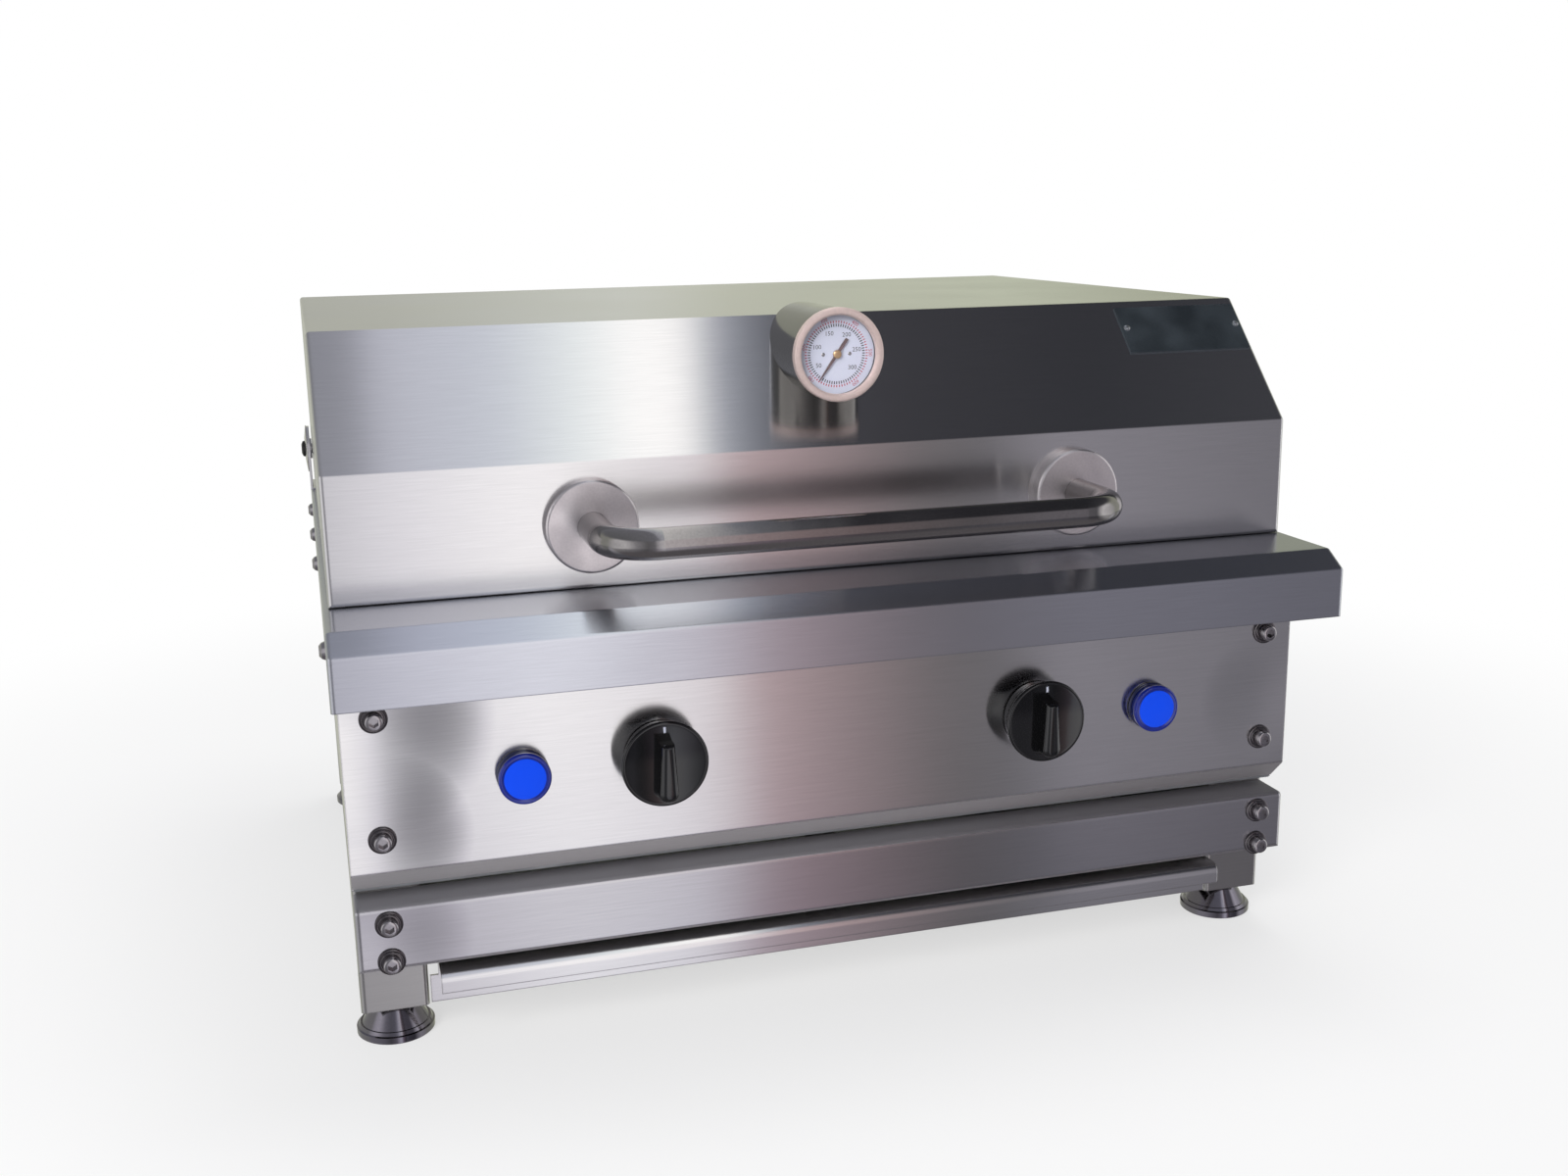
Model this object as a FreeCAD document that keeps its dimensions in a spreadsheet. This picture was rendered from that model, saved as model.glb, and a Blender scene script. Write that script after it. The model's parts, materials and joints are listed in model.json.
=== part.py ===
import FreeCAD, Part
import Sketcher
import math
import os

# Electric plancha: folded steel body on a tube frame, hinged lid, grease drawer.
# X is to the right, Y to the back, Z up. The origin is on the floor under the middle.

doc = FreeCAD.newDocument("electric_plancha")
V = FreeCAD.Vector

# Driving sizes in millimetres.
CELLS = (
    ("body_width", 600.0),
    ("lid_depth", 468.0),
    ("sheet", 1.5),
    ("worktop_sheet", 2.0),
    ("bend", 2.5),
    ("seat_gap", 0.3),
    ("weld_gap", 0.05),
    ("foot_height", 21.0),
    ("foot_radius", 23.2),
    ("foot_chamfer", 0.5),
    ("foot_rim", 4.2),
    ("foot_ring", 2.4),
    ("foot_step", 1.1),
    ("foot_neck", 13.5),
    ("foot_collar", 3.0),
    ("stud_radius", 5.0),
    ("stud_length", 18.0),
    ("shaft_gap", 0.05),
    ("leg_length", 82.0),
    ("leg_width", 40.0),
    ("leg_wall", 2.0),
    ("leg_edge", 3.0),
    ("plug_height", 20.0),
    ("frame_inset", 5.2),
    ("rail_drop", 5.4),
    ("rail_height", 39.5),
    ("rail_depth", 25.5),
    ("rail_edge", 3.0),
    ("body_height", 166.0),
    ("rear_recess", 12.8),
    ("panel_reach", 18.3),
    ("panel_return", 13.0),
    ("flange_width", 36.0),
    ("screw_inset", 19.0),
    ("panel_screw_low", 34.5),
    ("panel_screw_pitch", 71.5),
    ("rail_screw_low", 5.9),
    ("rail_screw_pitch", 23.0),
    ("screw_radius", 3.0),
    ("screw_hole", 3.3),
    ("cap_head_radius", 5.0),
    ("cap_head_height", 6.0),
    ("cap_head_edge", 0.6),
    ("socket_radius", 2.9),
    ("socket_depth", 3.0),
    ("washer_radius", 8.0),
    ("washer_height", 1.6),
    ("rivet_head_radius", 6.5),
    ("rivet_head", 1.5),
    ("rivet_body", 4.5),
    ("rivet_length", 12.0),
    ("button_radius", 5.4),
    ("button_height", 3.4),
    ("button_waist_radius", 4.6),
    ("button_waist_height", 1.9),
    ("button_top_radius", 3.0),
    ("button_socket_radius", 2.3),
    ("button_socket_depth", 1.5),
    ("side_screw_drop", 22.0),
    ("side_screw_rear", 13.0),
    ("side_screw_pitch", 109.0),
    ("side_screw_front", 4.0),
    ("apron_reach", 68.0),
    ("nosing_run", 16.0),
    ("nosing_drop", 10.0),
    ("apron_depth", 40.3),
    ("lid_gap", 0.3),
    ("lid_height", 147.7),
    ("lid_front_height", 74.3),
    ("slope_run", 70.8),
    ("hem", 14.0),
    ("pivot_inset", 26.0),
    ("pivot_height", 30.0),
    ("pivot_reach", 34.0),
    ("hinge_plate", 2.0),
    ("hinge_ear", 18.0),
    ("hinge_foot", 22.0),
    ("hinge_foot_width", 18.0),
    ("hinge_bolt", 4.0),
    ("hinge_head_radius", 6.5),
    ("hinge_head", 2.6),
    ("hinge_head_waist_radius", 5.9),
    ("hinge_head_waist", 1.6),
    ("hinge_head_top_radius", 3.6),
    ("hinge_dish_radius", 18.4),
    ("hinge_dish", 2.0),
    ("hinge_dish_rim", 0.7),
    ("hinge_spacer", 1.2),
    ("hinge_spacer_radius", 8.0),
    ("hinge_nut_radius", 7.5),
    ("hinge_nut", 6.0),
    ("handle_half", 151.5),
    ("handle_height", 37.2),
    ("handle_reach", 67.3),
    ("handle_radius", 8.9),
    ("handle_bend", 27.0),
    ("rosette_radius", 27.0),
    ("rosette_height", 8.0),
    ("rosette_edge", 1.6),
    ("handle_screw", 4.0),
    ("handle_screw_length", 18.0),
    ("handle_screw_head", 7.0),
    ("handle_screw_head_height", 4.0),
    ("gauge_height", 127.7),
    ("housing_radius", 27.0),
    ("housing_wall", 1.5),
    ("housing_length", 86.0),
    ("housing_past", 50.0),
    ("bezel_radius", 27.6),
    ("bezel_depth", 6.0),
    ("bezel_window", 23.0),
    ("bezel_skirt", 1.2),
    ("bezel_lip", 1.6),
    ("glass_height", 1.4),
    ("case_depth", 20.0),
    ("dial_depth", 4.6),
    ("dial_height", 0.8),
    ("dial_margin", 0.5),
    ("pointer_tip", 18.6),
    ("pointer_tail", 11.0),
    ("pointer_width", 1.9),
    ("pointer_end", 0.5),
    ("pointer_height", 0.7),
    ("pointer_lift", 1.4),
    ("pointer_hub", 2.4),
    ("pointer_angle", 35.9),
    ("staff_radius", 0.75),
    ("staff_length", 8.0),
    ("probe_radius", 3.0),
    ("probe_boss", 6.0),
    ("probe_boss_length", 14.0),
    ("probe_length", 92.0),
    ("plate_inset", 2.6),
    ("plate_width", 86.7),
    ("plate_up", 58.3),
    ("plate_tall", 37.6),
    ("plate_sheet", 1.0),
    ("plate_screw_side", 3.6),
    ("plate_screw_up", 20.5),
    ("plate_screw_radius", 2.3),
    ("plate_screw_height", 1.3),
    ("plate_screw_waist_radius", 2.0),
    ("plate_screw_waist", 0.8),
    ("plate_screw_top_radius", 1.0),
    ("knob_inset", 180.0),
    ("knob_height", 67.0),
    ("knob_gap", 1.0),
    ("knob_skirt", 21.4),
    ("knob_face", 25.8),
    ("knob_depth", 17.0),
    ("knob_edge", 1.0),
    ("knob_wall", 2.6),
    ("knob_hollow", 10.0),
    ("knob_boss", 6.5),
    ("grip_height", 10.0),
    ("grip_low", 20.0),
    ("grip_high", 13.0),
    ("grip_half", 6.0),
    ("grip_top_half", 4.2),
    ("grip_edge", 2.0),
    ("spindle_radius", 3.0),
    ("spindle_out", 14.0),
    ("spindle_in", 12.0),
    ("spindle_flat", 1.5),
    ("bush_radius", 4.8),
    ("bush_out", 0.6),
    ("stat_width", 50.0),
    ("stat_tall", 36.0),
    ("stat_depth", 30.0),
    ("tab_offset", 12.5),
    ("tab_width", 6.0),
    ("tab_length", 7.0),
    ("lamp_inset", 100.0),
    ("lamp_height", 64.5),
    ("lamp_barrel", 11.0),
    ("lamp_barrel_length", 30.0),
    ("lamp_flange", 15.3),
    ("lamp_flange_height", 2.5),
    ("lens_radius", 15.2),
    ("lens_face", 12.0),
    ("lens_height", 7.5),
    ("lens_rim", 0.8),
    ("lamp_nut_radius", 14.0),
    ("lamp_nut", 4.0),
    ("drawer_gap", 1.0),
    ("drawer_lift", 6.6),
    ("drawer_drop", 1.5),
    ("drawer_back", 17.1),
    ("drawer_flange", 11.2),
    ("drawer_tab", 17.2),
    ("pull_reach", 25.2),
    ("pull_drop", 12.5),
    ("pull_bend", 5.5),
    ("pull_inset", 5.0),
    ("runner_sheet", 1.5),
    ("runner_gap", 0.3),
    ("runner_ledge", 12.0),
    ("griddle_front", 32.0),
    ("griddle_side", 42.0),
    ("griddle_back", 60.0),
    ("griddle_thick", 12.0),
    ("griddle_rise", 5.0),
    ("griddle_gap", 1.5),
    ("trough_edge", 8.0),
    ("trough_width", 26.0),
    ("trough_depth", 6.0),
    ("trough_side", 14.0),
    ("drain_bore", 8.5),
    ("drain_wall", 1.5),
    ("drain_clear", 6.0),
    ("drain_hole_gap", 0.6),
    ("upstand_height", 25.0),
    ("upstand_thick", 3.0),
    ("support_ledge", 58.0),
    ("support_tall", 9.0),
    ("element_radius", 4.25),
    ("element_margin", 33.0),
    ("element_inner", 45.0),
    ("element_gap", 0.1),
    ("element_front", 55.0),
    ("element_rear", 45.0),
    ("element_end", 12.0),
    ("terminal_radius", 2.0),
    ("terminal_length", 14.0),
    ("clamp_front", 120.0),
    ("clamp_back", 86.0),
    ("clamp_width", 16.0),
    ("clamp_thick", 3.0),
    ("clamp_over", 15.0),
    ("stud_drop", 19.0),
    ("clamp_nut_radius", 5.7),
    ("clamp_nut", 5.0),
    ("shield_drop", 31.5),
    ("shield_sheet", 1.0),
    ("shield_side", 8.0),
    ("bulb_radius", 3.0),
    ("bulb_length", 90.0),
    ("bulb_front", 140.0),
    ("capillary_radius", 0.8),
    ("capillary_bend", 12.0),
    ("block_inset", 150.0),
    ("block_back", 43.0),
    ("block_width", 60.0),
    ("block_depth", 20.0),
    ("block_height", 22.0),
    ("block_screw", 2.0),
    ("block_screw_pitch", 15.0),
    ("vent_offset", 108.0),
    ("vent_width", 72.0),
    ("vent_height", 3.0),
    ("vent_pitch", 8.0),
    ("vent_rise", 83.0),
    ("gland_inset", 90.0),
    ("gland_height", 34.0),
    ("gland_bore", 5.0),
    ("gland_thread", 8.0),
    ("gland_hex", 12.0),
    ("gland_hex_height", 4.0),
    ("gland_dome", 9.5),
    ("gland_dome_height", 7.0),
    ("gland_nut", 4.0),
)


class Size:
    """A length: its present value and the expression that ties it to the sheet."""

    def __init__(self, value, text):
        self.value = value
        self.text = text

    def __add__(self, other):
        return combine(self, "+", other, self.value + as_size(other).value)

    def __radd__(self, other):
        return as_size(other) + self

    def __sub__(self, other):
        return combine(self, "-", other, self.value - as_size(other).value)

    def __rsub__(self, other):
        return as_size(other) - self

    def __mul__(self, other):
        return combine(self, "*", other, self.value * as_size(other).value)

    def __rmul__(self, other):
        return as_size(other) * self

    def __truediv__(self, other):
        return combine(self, "/", other, self.value / as_size(other).value)

    def __neg__(self):
        return as_size(0.0) - self


def as_size(number):
    """Return a Size as it is, and a plain number as a Size."""
    if isinstance(number, Size):
        return number
    return Size(float(number), repr(float(number)))


def combine(left, sign, right, value):
    return Size(value, "(%s %s %s)" % (left.text, sign, as_size(right).text))


def root(size):
    """The square root of a Size."""
    return Size(math.sqrt(size.value), "sqrt(%s)" % size.text)


class Sheet:
    """The spreadsheet of the driving sizes, each also an attribute here."""

    def __init__(self, cells):
        table = doc.addObject("Spreadsheet::Sheet", "Sizes")
        for row, (alias, value) in enumerate(cells, 1):
            table.set("A%d" % row, str(value))
            table.setAlias("A%d" % row, alias)
            setattr(self, alias, Size(value, "Sizes." + alias))


S = Sheet(CELLS)
doc.recompute()

ZERO = as_size(0.0)
LEFT = -1.0
RIGHT = 1.0
SIDES = (("left", LEFT), ("right", RIGHT))
OVERCUT = 5.0
ELEMENT_LEGS = 4
VENT_ROWS = 5

AXIS_TURN = {
    "X": FreeCAD.Rotation(V(0, 1, 0), 90),
    "Y": FreeCAD.Rotation(V(1, 0, 0), -90),
    "Z": FreeCAD.Rotation(),
}
PLANE_ROLE = {"X": "YZ_Plane", "Y": "XZ_Plane", "Z": "XY_Plane"}
HALF_TURN = FreeCAD.Rotation(V(0, 0, 1), 180)

nodes = []


def node(label, item):
    """Give a finished sub-part its name and keep it for the export."""
    item.Label = label
    nodes.append(item)
    return item


def bind(item, path, size):
    item.setExpression(path, as_size(size).text)


def place(item, x, y, z):
    """Bind the position of an item, keeping its rotation."""
    bind(item, "Placement.Base.x", x)
    bind(item, "Placement.Base.y", y)
    bind(item, "Placement.Base.z", z)
    return item


def box(x, y, z, wide, deep, tall):
    item = doc.addObject("Part::Box", "block")
    bind(item, "Length", wide)
    bind(item, "Width", deep)
    bind(item, "Height", tall)
    return place(item, x, y, z)


def rod(axis, x, y, z, radius, length):
    """A round bar that starts at a point and runs along an axis."""
    item = doc.addObject("Part::Cylinder", "rod")
    item.Placement = FreeCAD.Placement(V(), AXIS_TURN[axis])
    bind(item, "Radius", radius)
    bind(item, "Height", length)
    return place(item, x, y, z)


def hexagon(axis, x, y, z, radius, length):
    item = doc.addObject("Part::Prism", "hexagon")
    item.Polygon = 6
    item.Placement = FreeCAD.Placement(V(), AXIS_TURN[axis])
    bind(item, "Circumradius", radius)
    bind(item, "Height", length)
    return place(item, x, y, z)


def join(*items):
    item = doc.addObject("Part::MultiFuse", "joined")
    item.Shapes = list(items)
    item.Refine = True
    return item


def cut(base, *tools):
    item = doc.addObject("Part::Cut", "cut")
    item.Base = base
    item.Tool = tools[0] if len(tools) == 1 else join(*tools)
    return item


def group(*items):
    item = doc.addObject("Part::Compound", "group")
    item.Links = list(items)
    return item


def copy_at(master, x, y, z, rotation=None):
    """A copy of a master piece at another place."""
    link = doc.addObject("App::Link", "copy")
    link.LinkedObject = master
    link.LinkTransform = False
    if rotation is not None:
        link.Placement = FreeCAD.Placement(V(), rotation)
    return place(link, x, y, z)


class Turn:
    """An arc of an outline about a centre to an end point.

    The coordinate named by free, "u" or "v", follows from the arc and isn't constrained.
    """

    def __init__(self, centre, end, free, clockwise=False):
        self.centre = centre
        self.end = end
        self.free = free
        self.clockwise = clockwise


class Hole:
    """A circle in a sketch."""

    def __init__(self, u, v, radius):
        self.u = as_size(u)
        self.v = as_size(v)
        self.radius = as_size(radius)


def rectangle(u0, v0, u1, v1):
    return [(u0, v0), (u1, v0), (u1, v1), (u0, v1)]


def fix_point(sketch, geometry, vertex, u, v):
    """Tie a sketch point to its two coordinates; None leaves one free."""
    for kind, size in (("DistanceX", u), ("DistanceY", v)):
        if size is None:
            continue
        number = sketch.addConstraint(
            Sketcher.Constraint(kind, -1, 1, geometry, vertex, size.value))
        bind(sketch, "Constraints[%d]" % number, size)


def draw_circle(sketch, hole):
    centre = V(hole.u.value, hole.v.value, 0)
    number = sketch.addGeometry(Part.Circle(centre, V(0, 0, 1), hole.radius.value))
    fix_point(sketch, number, 3, hole.u, hole.v)
    mark = sketch.addConstraint(Sketcher.Constraint("Radius", number, hole.radius.value))
    bind(sketch, "Constraints[%d]" % mark, hole.radius)


def draw_loop(sketch, outline, closed=True):
    """Draw an outline of points and Turns, each vertex tied to the sizes."""
    points = []
    frees = []
    for step in outline:
        end = step.end if isinstance(step, Turn) else step
        points.append((as_size(end[0]), as_size(end[1])))
        frees.append(step.free if isinstance(step, Turn) else "")
    count = len(outline)
    first = sketch.GeometryCount
    spans = count if closed else count - 1
    arcs_from = {}
    for index in range(spans):
        after = (index + 1) % count
        here = V(points[index][0].value, points[index][1].value, 0)
        there = V(points[after][0].value, points[after][1].value, 0)
        step = outline[after]
        if isinstance(step, Turn):
            centre = V(as_size(step.centre[0]).value, as_size(step.centre[1]).value, 0)
            start = math.atan2(here.y - centre.y, here.x - centre.x)
            stop = math.atan2(there.y - centre.y, there.x - centre.x)
            if step.clockwise:
                start, stop = stop, start
            circle = Part.Circle(centre, V(0, 0, 1), (here - centre).Length)
            sketch.addGeometry(Part.ArcOfCircle(circle, start, stop))
            arcs_from[index] = step
        else:
            sketch.addGeometry(Part.LineSegment(here, there))

    def ends(index):
        step = arcs_from.get(index)
        return (2, 1) if step is not None and step.clockwise else (1, 2)

    for index in range(spans):
        after = (index + 1) % count
        if closed or index < spans - 1:
            sketch.addConstraint(Sketcher.Constraint(
                "Coincident", first + index, ends(index)[1], first + after, ends(after)[0]))
    for index in range(spans):
        u, v = points[index]
        fix_point(sketch, first + index, ends(index)[0],
                  None if frees[index] == "u" else u, None if frees[index] == "v" else v)
        if index in arcs_from:
            centre = arcs_from[index].centre
            fix_point(sketch, first + index, 3, as_size(centre[0]), as_size(centre[1]))
    if not closed:
        u, v = points[-1]
        fix_point(sketch, first + spans - 1, ends(spans - 1)[1],
                  None if frees[-1] == "u" else u, None if frees[-1] == "v" else v)


class Piece:
    """A PartDesign body that is built up feature by feature."""

    def __init__(self, label):
        self.label = label
        self.body = doc.addObject("PartDesign::Body", label)

    def plane(self, axis):
        for item in self.body.Origin.OriginFeatures:
            if item.Role == PLANE_ROLE[axis]:
                return item
        raise ValueError(axis)

    def sketch(self, axis, level, outlines, closed=True):
        """A sketch square to an axis. The XZ plane's normal is -Y, so its level is negated."""
        item = self.body.newObject("Sketcher::SketchObject", self.label + "_sketch")
        item.AttachmentSupport = [(self.plane(axis), "")]
        item.MapMode = "FlatFace"
        level = as_size(level)
        bind(item, "AttachmentOffset.Base.z", -level if axis == "Y" else level)
        for outline in outlines:
            if isinstance(outline, Hole):
                draw_circle(item, outline)
            else:
                draw_loop(item, outline, closed)
        return item

    def feature(self, kind, sketch, length):
        item = self.body.newObject("PartDesign::" + kind, self.label + "_" + kind.lower())
        item.Profile = sketch
        bind(item, "Length", length)
        sketch.Visibility = False
        return item

    def pad(self, axis, start, end, *outlines):
        level = end if axis == "Y" else start
        self.feature("Pad", self.sketch(axis, level, outlines), as_size(end) - start)
        return self

    def pocket(self, axis, start, end, *outlines):
        """Cut outlines out between two levels, and make sure that material went."""
        doc.recompute()
        before = self.body.Shape.Volume
        level = start if axis == "Y" else end
        self.feature("Pocket", self.sketch(axis, level, outlines), as_size(end) - start)
        doc.recompute()
        if not self.body.Shape.Volume < before - 1e-6:
            raise ValueError("a pocket of %s cuts nothing" % self.label)
        return self

    def turn(self, axis, outline):
        """Turn an outline: about Z it holds (radius, z), about Y (radius, y), about X (x, radius)."""
        plane = {"Z": "Y", "Y": "Z", "X": "Z"}[axis]
        sketch = self.sketch(plane, ZERO, [outline])
        item = self.body.newObject("PartDesign::Revolution", self.label + "_turned")
        item.Profile = sketch
        item.ReferenceAxis = (sketch, ["H_Axis" if axis == "X" else "V_Axis"])
        item.Angle = 360
        sketch.Visibility = False
        return self

    def pipe(self, axis, path, ring_axis, ring_level, ring):
        spine = self.sketch(axis, ZERO, [path], closed=False)
        profile = self.sketch(ring_axis, ring_level, [ring])
        item = self.body.newObject("PartDesign::AdditivePipe", self.label + "_pipe")
        item.Profile = profile
        item.Spine = spine
        return self

    def fillet(self, radius, *tests):
        """Round every edge that passes one of the tests."""
        doc.recompute()
        tip = self.body.Tip
        names = []
        for number, edge in enumerate(tip.Shape.Edges, 1):
            if any(test(edge) for test in tests):
                names.append("Edge%d" % number)
        if not names:
            raise ValueError("no edge of %s to round" % self.label)
        item = self.body.newObject("PartDesign::Fillet", self.label + "_fillet")
        item.Base = (tip, names)
        bind(item, "Radius", radius)
        doc.recompute()
        return self

    def at(self, x, y, z):
        place(self.body, x, y, z)
        return self


def edge_at(axis, x=None, y=None, z=None):
    """A test for straight edges along an axis, through the given coordinates."""
    wanted = [(index, as_size(size).value) for index, size in enumerate((x, y, z))
              if size is not None]

    def test(edge):
        if not isinstance(edge.Curve, Part.Line):
            return False
        run = edge.Curve.Direction
        if axis and abs(abs({"X": run.x, "Y": run.y, "Z": run.z}[axis]) - 1) > 1e-6:
            return False
        centre = edge.CenterOfMass
        return all(abs(centre[index] - value) < 1e-3 for index, value in wanted)
    return test


def level_at(axis, level):
    """A test for every edge that lies wholly at one level."""
    level = as_size(level).value

    def test(edge):
        span = edge.BoundBox
        low, high = {"X": (span.XMin, span.XMax), "Y": (span.YMin, span.YMax),
                     "Z": (span.ZMin, span.ZMax)}[axis]
        return abs(low - level) < 1e-3 and abs(high - level) < 1e-3
    return test


def bent_tube(points, radius, bend):
    """A thin tube along straight runs that are joined by tangent arcs."""
    corners = [V(*[as_size(part).value for part in point]) for point in points]
    bend = as_size(bend).value
    edges = []
    last = corners[0]
    for before, corner, after in zip(corners, corners[1:], corners[2:]):
        inward = (before - corner).normalize()
        onward = (after - corner).normalize()
        start = corner + inward * bend
        stop = corner + onward * bend
        middle = corner + (inward + onward) * bend * (1 - math.sqrt(0.5))
        edges.append(Part.LineSegment(last, start).toShape())
        edges.append(Part.Arc(start, middle, stop).toShape())
        last = stop
    edges.append(Part.LineSegment(last, corners[-1]).toShape())
    wire = Part.Wire(edges)
    first = (corners[1] - corners[0]).normalize()
    section = Part.Wire(Part.Circle(corners[0], first, as_size(radius).value).toShape())
    return wire.makePipeShell([section], True, False)


# Levels and planes that several pieces share.
half_width = S.body_width / 2
inside_half = half_width - S.sheet
handle_front = S.handle_reach + S.handle_radius
lid_front = (handle_front - S.lid_depth) / 2
lid_rear = lid_front + S.lid_depth
body_bottom = S.foot_height + S.leg_length
worktop_top = body_bottom + S.body_height
worktop_under = worktop_top - S.worktop_sheet
worktop_half = half_width + S.rivet_head + S.worktop_sheet
flange_inner = half_width + S.rivet_head
lid_bottom = worktop_top + S.lid_gap
lid_top = lid_bottom + S.lid_height
crease = lid_bottom + S.lid_front_height
slope_rise = lid_top - crease
slope_length = root(S.slope_run * S.slope_run + slope_rise * slope_rise)
pivot_y = lid_rear - S.pivot_inset
pivot_z = worktop_top + S.pivot_height
frame_front = lid_front + S.frame_inset
frame_rear = lid_rear - S.frame_inset
front_leg_y = frame_front + S.leg_width / 2
rear_leg_y = frame_rear - S.leg_width / 2
leg_inner = half_width - S.leg_width
rail_top = body_bottom - S.rail_drop
rail_bottom = rail_top - S.rail_height
rail_front = frame_front - S.rail_depth
panel_face = lid_front - S.panel_reach
panel_back = panel_face + S.sheet
panel_edge = panel_face + S.panel_return
panel_top = worktop_under - S.seat_gap
panel_bend = body_bottom + S.sheet + S.panel_return
panel_inner_bend = panel_bend + S.sheet * (math.sqrt(2.0) - 1)
return_end_y = panel_edge + S.sheet * math.sqrt(0.5)
return_end_z = panel_bend - S.panel_return + S.sheet * math.sqrt(0.5)
rear_face = frame_rear - S.rear_recess
screw_x = half_width - S.screw_inset
panel_screw_rows = (body_bottom + S.panel_screw_low,
                    body_bottom + S.panel_screw_low + S.panel_screw_pitch)
rail_screw_rows = (rail_bottom + S.rail_screw_low,
                   rail_bottom + S.rail_screw_low + S.rail_screw_pitch)
side_screw_z = worktop_top - S.side_screw_drop
last_side_screw = lid_rear - S.side_screw_rear
side_screw_places = (lid_front - S.side_screw_front, last_side_screw - S.side_screw_pitch * 2,
                     last_side_screw - S.side_screw_pitch, last_side_screw)
griddle_front = lid_front + S.griddle_front
griddle_rear = lid_rear - S.griddle_back
griddle_half = half_width - S.griddle_side
griddle_top = worktop_top + S.griddle_rise
griddle_under = griddle_top - S.griddle_thick
trough_front = griddle_front + S.trough_edge
trough_rear = trough_front + S.trough_width
drain_y = (trough_front + trough_rear) / 2
drain_outer = S.drain_bore + S.drain_wall
drain_gap_radius = drain_outer + S.drain_hole_gap
drawer_top = rail_bottom - S.drawer_lift
drawer_bottom = S.foot_height + S.drawer_drop
drawer_half = leg_inner - S.drawer_gap
drawer_rear = frame_rear - S.rail_depth - S.drawer_back
runner_web = leg_inner - S.runner_sheet
drawer_flange_half = runner_web - S.runner_gap
tray_half = drawer_flange_half - S.drawer_flange
knob_x = half_width - S.knob_inset
knob_z = body_bottom + S.knob_height
lamp_x = half_width - S.lamp_inset
lamp_z = body_bottom + S.lamp_height
handle_z = lid_bottom + S.handle_height
gauge_z = lid_bottom + S.gauge_height
element_z = griddle_under - S.element_gap - S.element_radius
element_span = griddle_half - S.element_margin - S.element_inner
element_pitch = element_span / (ELEMENT_LEGS - 1)
stud_outer = griddle_half - S.element_margin - element_pitch / 2
stud_inner = stud_outer - element_pitch
clamp_rows = (griddle_front + S.clamp_front, griddle_rear - S.clamp_back)


def inside_fold(front, low, bend_z, run, rise, rear, top, sheet):
    """The inner outline of a folded sheet: upright front, slope, flat top, upright rear."""
    length = root(run * run + rise * rise)
    return [
        (front + sheet, low),
        (front + sheet, bend_z - sheet * (length - rise) / run),
        (front + run + sheet * (length - run) / rise, top - sheet),
        (rear - sheet, top - sheet),
        (rear - sheet, low),
    ]


def on_slope(along, out):
    """The y and z of a point along the lid's slope from the crease, out from its face."""
    across = S.slope_run / slope_length
    upward = slope_rise / slope_length
    return (lid_front + along * across - out * upward, crease + along * upward + out * across)


# Base frame

def make_legs():
    """The front legs are tapped for the rail's screws, the rear ones are plain."""
    half = S.leg_width / 2
    inner = half - S.leg_wall
    legs = []
    for name, x, y in foot_places():
        leg = Piece("leg_" + name)
        leg.pad("Z", ZERO, S.leg_length, rectangle(-half, -half, half, half))
        leg.fillet(S.leg_edge, edge_at("Z", x=-half), edge_at("Z", x=half))
        leg.pocket("Z", -OVERCUT, S.leg_length + OVERCUT, rectangle(-inner, -inner, inner, inner))
        if y is front_leg_y:
            side = RIGHT if x.value > 0 else LEFT
            leg.pocket("Y", -half - OVERCUT, -inner + S.leg_wall / 2,
                       *[Hole(side * (half - S.screw_inset), row - S.foot_height, S.screw_radius)
                         for row in rail_screw_rows])
        legs.append(leg.at(x, y, S.foot_height).body)
    node("legs", group(*legs))


def foot_places():
    """The name and centre of each leg."""
    for end, y in (("front", front_leg_y), ("rear", rear_leg_y)):
        for name, side in SIDES:
            yield "%s_%s" % (end, name), side * (half_width - S.leg_width / 2), y


def make_leg_plugs():
    side = S.leg_width - S.leg_wall * 2
    plugs = []
    for _, x, y in foot_places():
        block = box(x - side / 2, y - side / 2, S.foot_height, side, side, S.plug_height)
        bore = rod("Z", x, y, S.foot_height - OVERCUT, S.stud_radius + S.shaft_gap,
                   S.plug_height + OVERCUT * 2)
        plugs.append(cut(block, bore))
    node("leg_plugs", group(*plugs))


def make_feet():
    """Each foot is a cone on a stepped rim, with a stud that turns in the leg's plug."""
    top = S.foot_height - S.seat_gap / 2
    rim = S.foot_radius
    ring_top = S.foot_rim + S.foot_ring
    for name, x, y in foot_places():
        foot = Piece("foot_" + name)
        foot.turn("Z", [
            (ZERO, ZERO),
            (rim - S.foot_chamfer, ZERO),
            (rim, S.foot_chamfer),
            (rim, S.foot_rim),
            (rim - S.foot_step, S.foot_rim + S.foot_chamfer),
            (rim - S.foot_step * 2, ring_top),
            (rim - S.foot_step * 3, ring_top),
            (S.foot_neck, top - S.foot_collar),
            (S.foot_neck, top),
            (S.stud_radius, top),
            (S.stud_radius, top + S.stud_length),
            (ZERO, top + S.stud_length),
        ])
        foot.at(x, y, ZERO)
        node("foot_" + name, foot.body)


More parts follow.
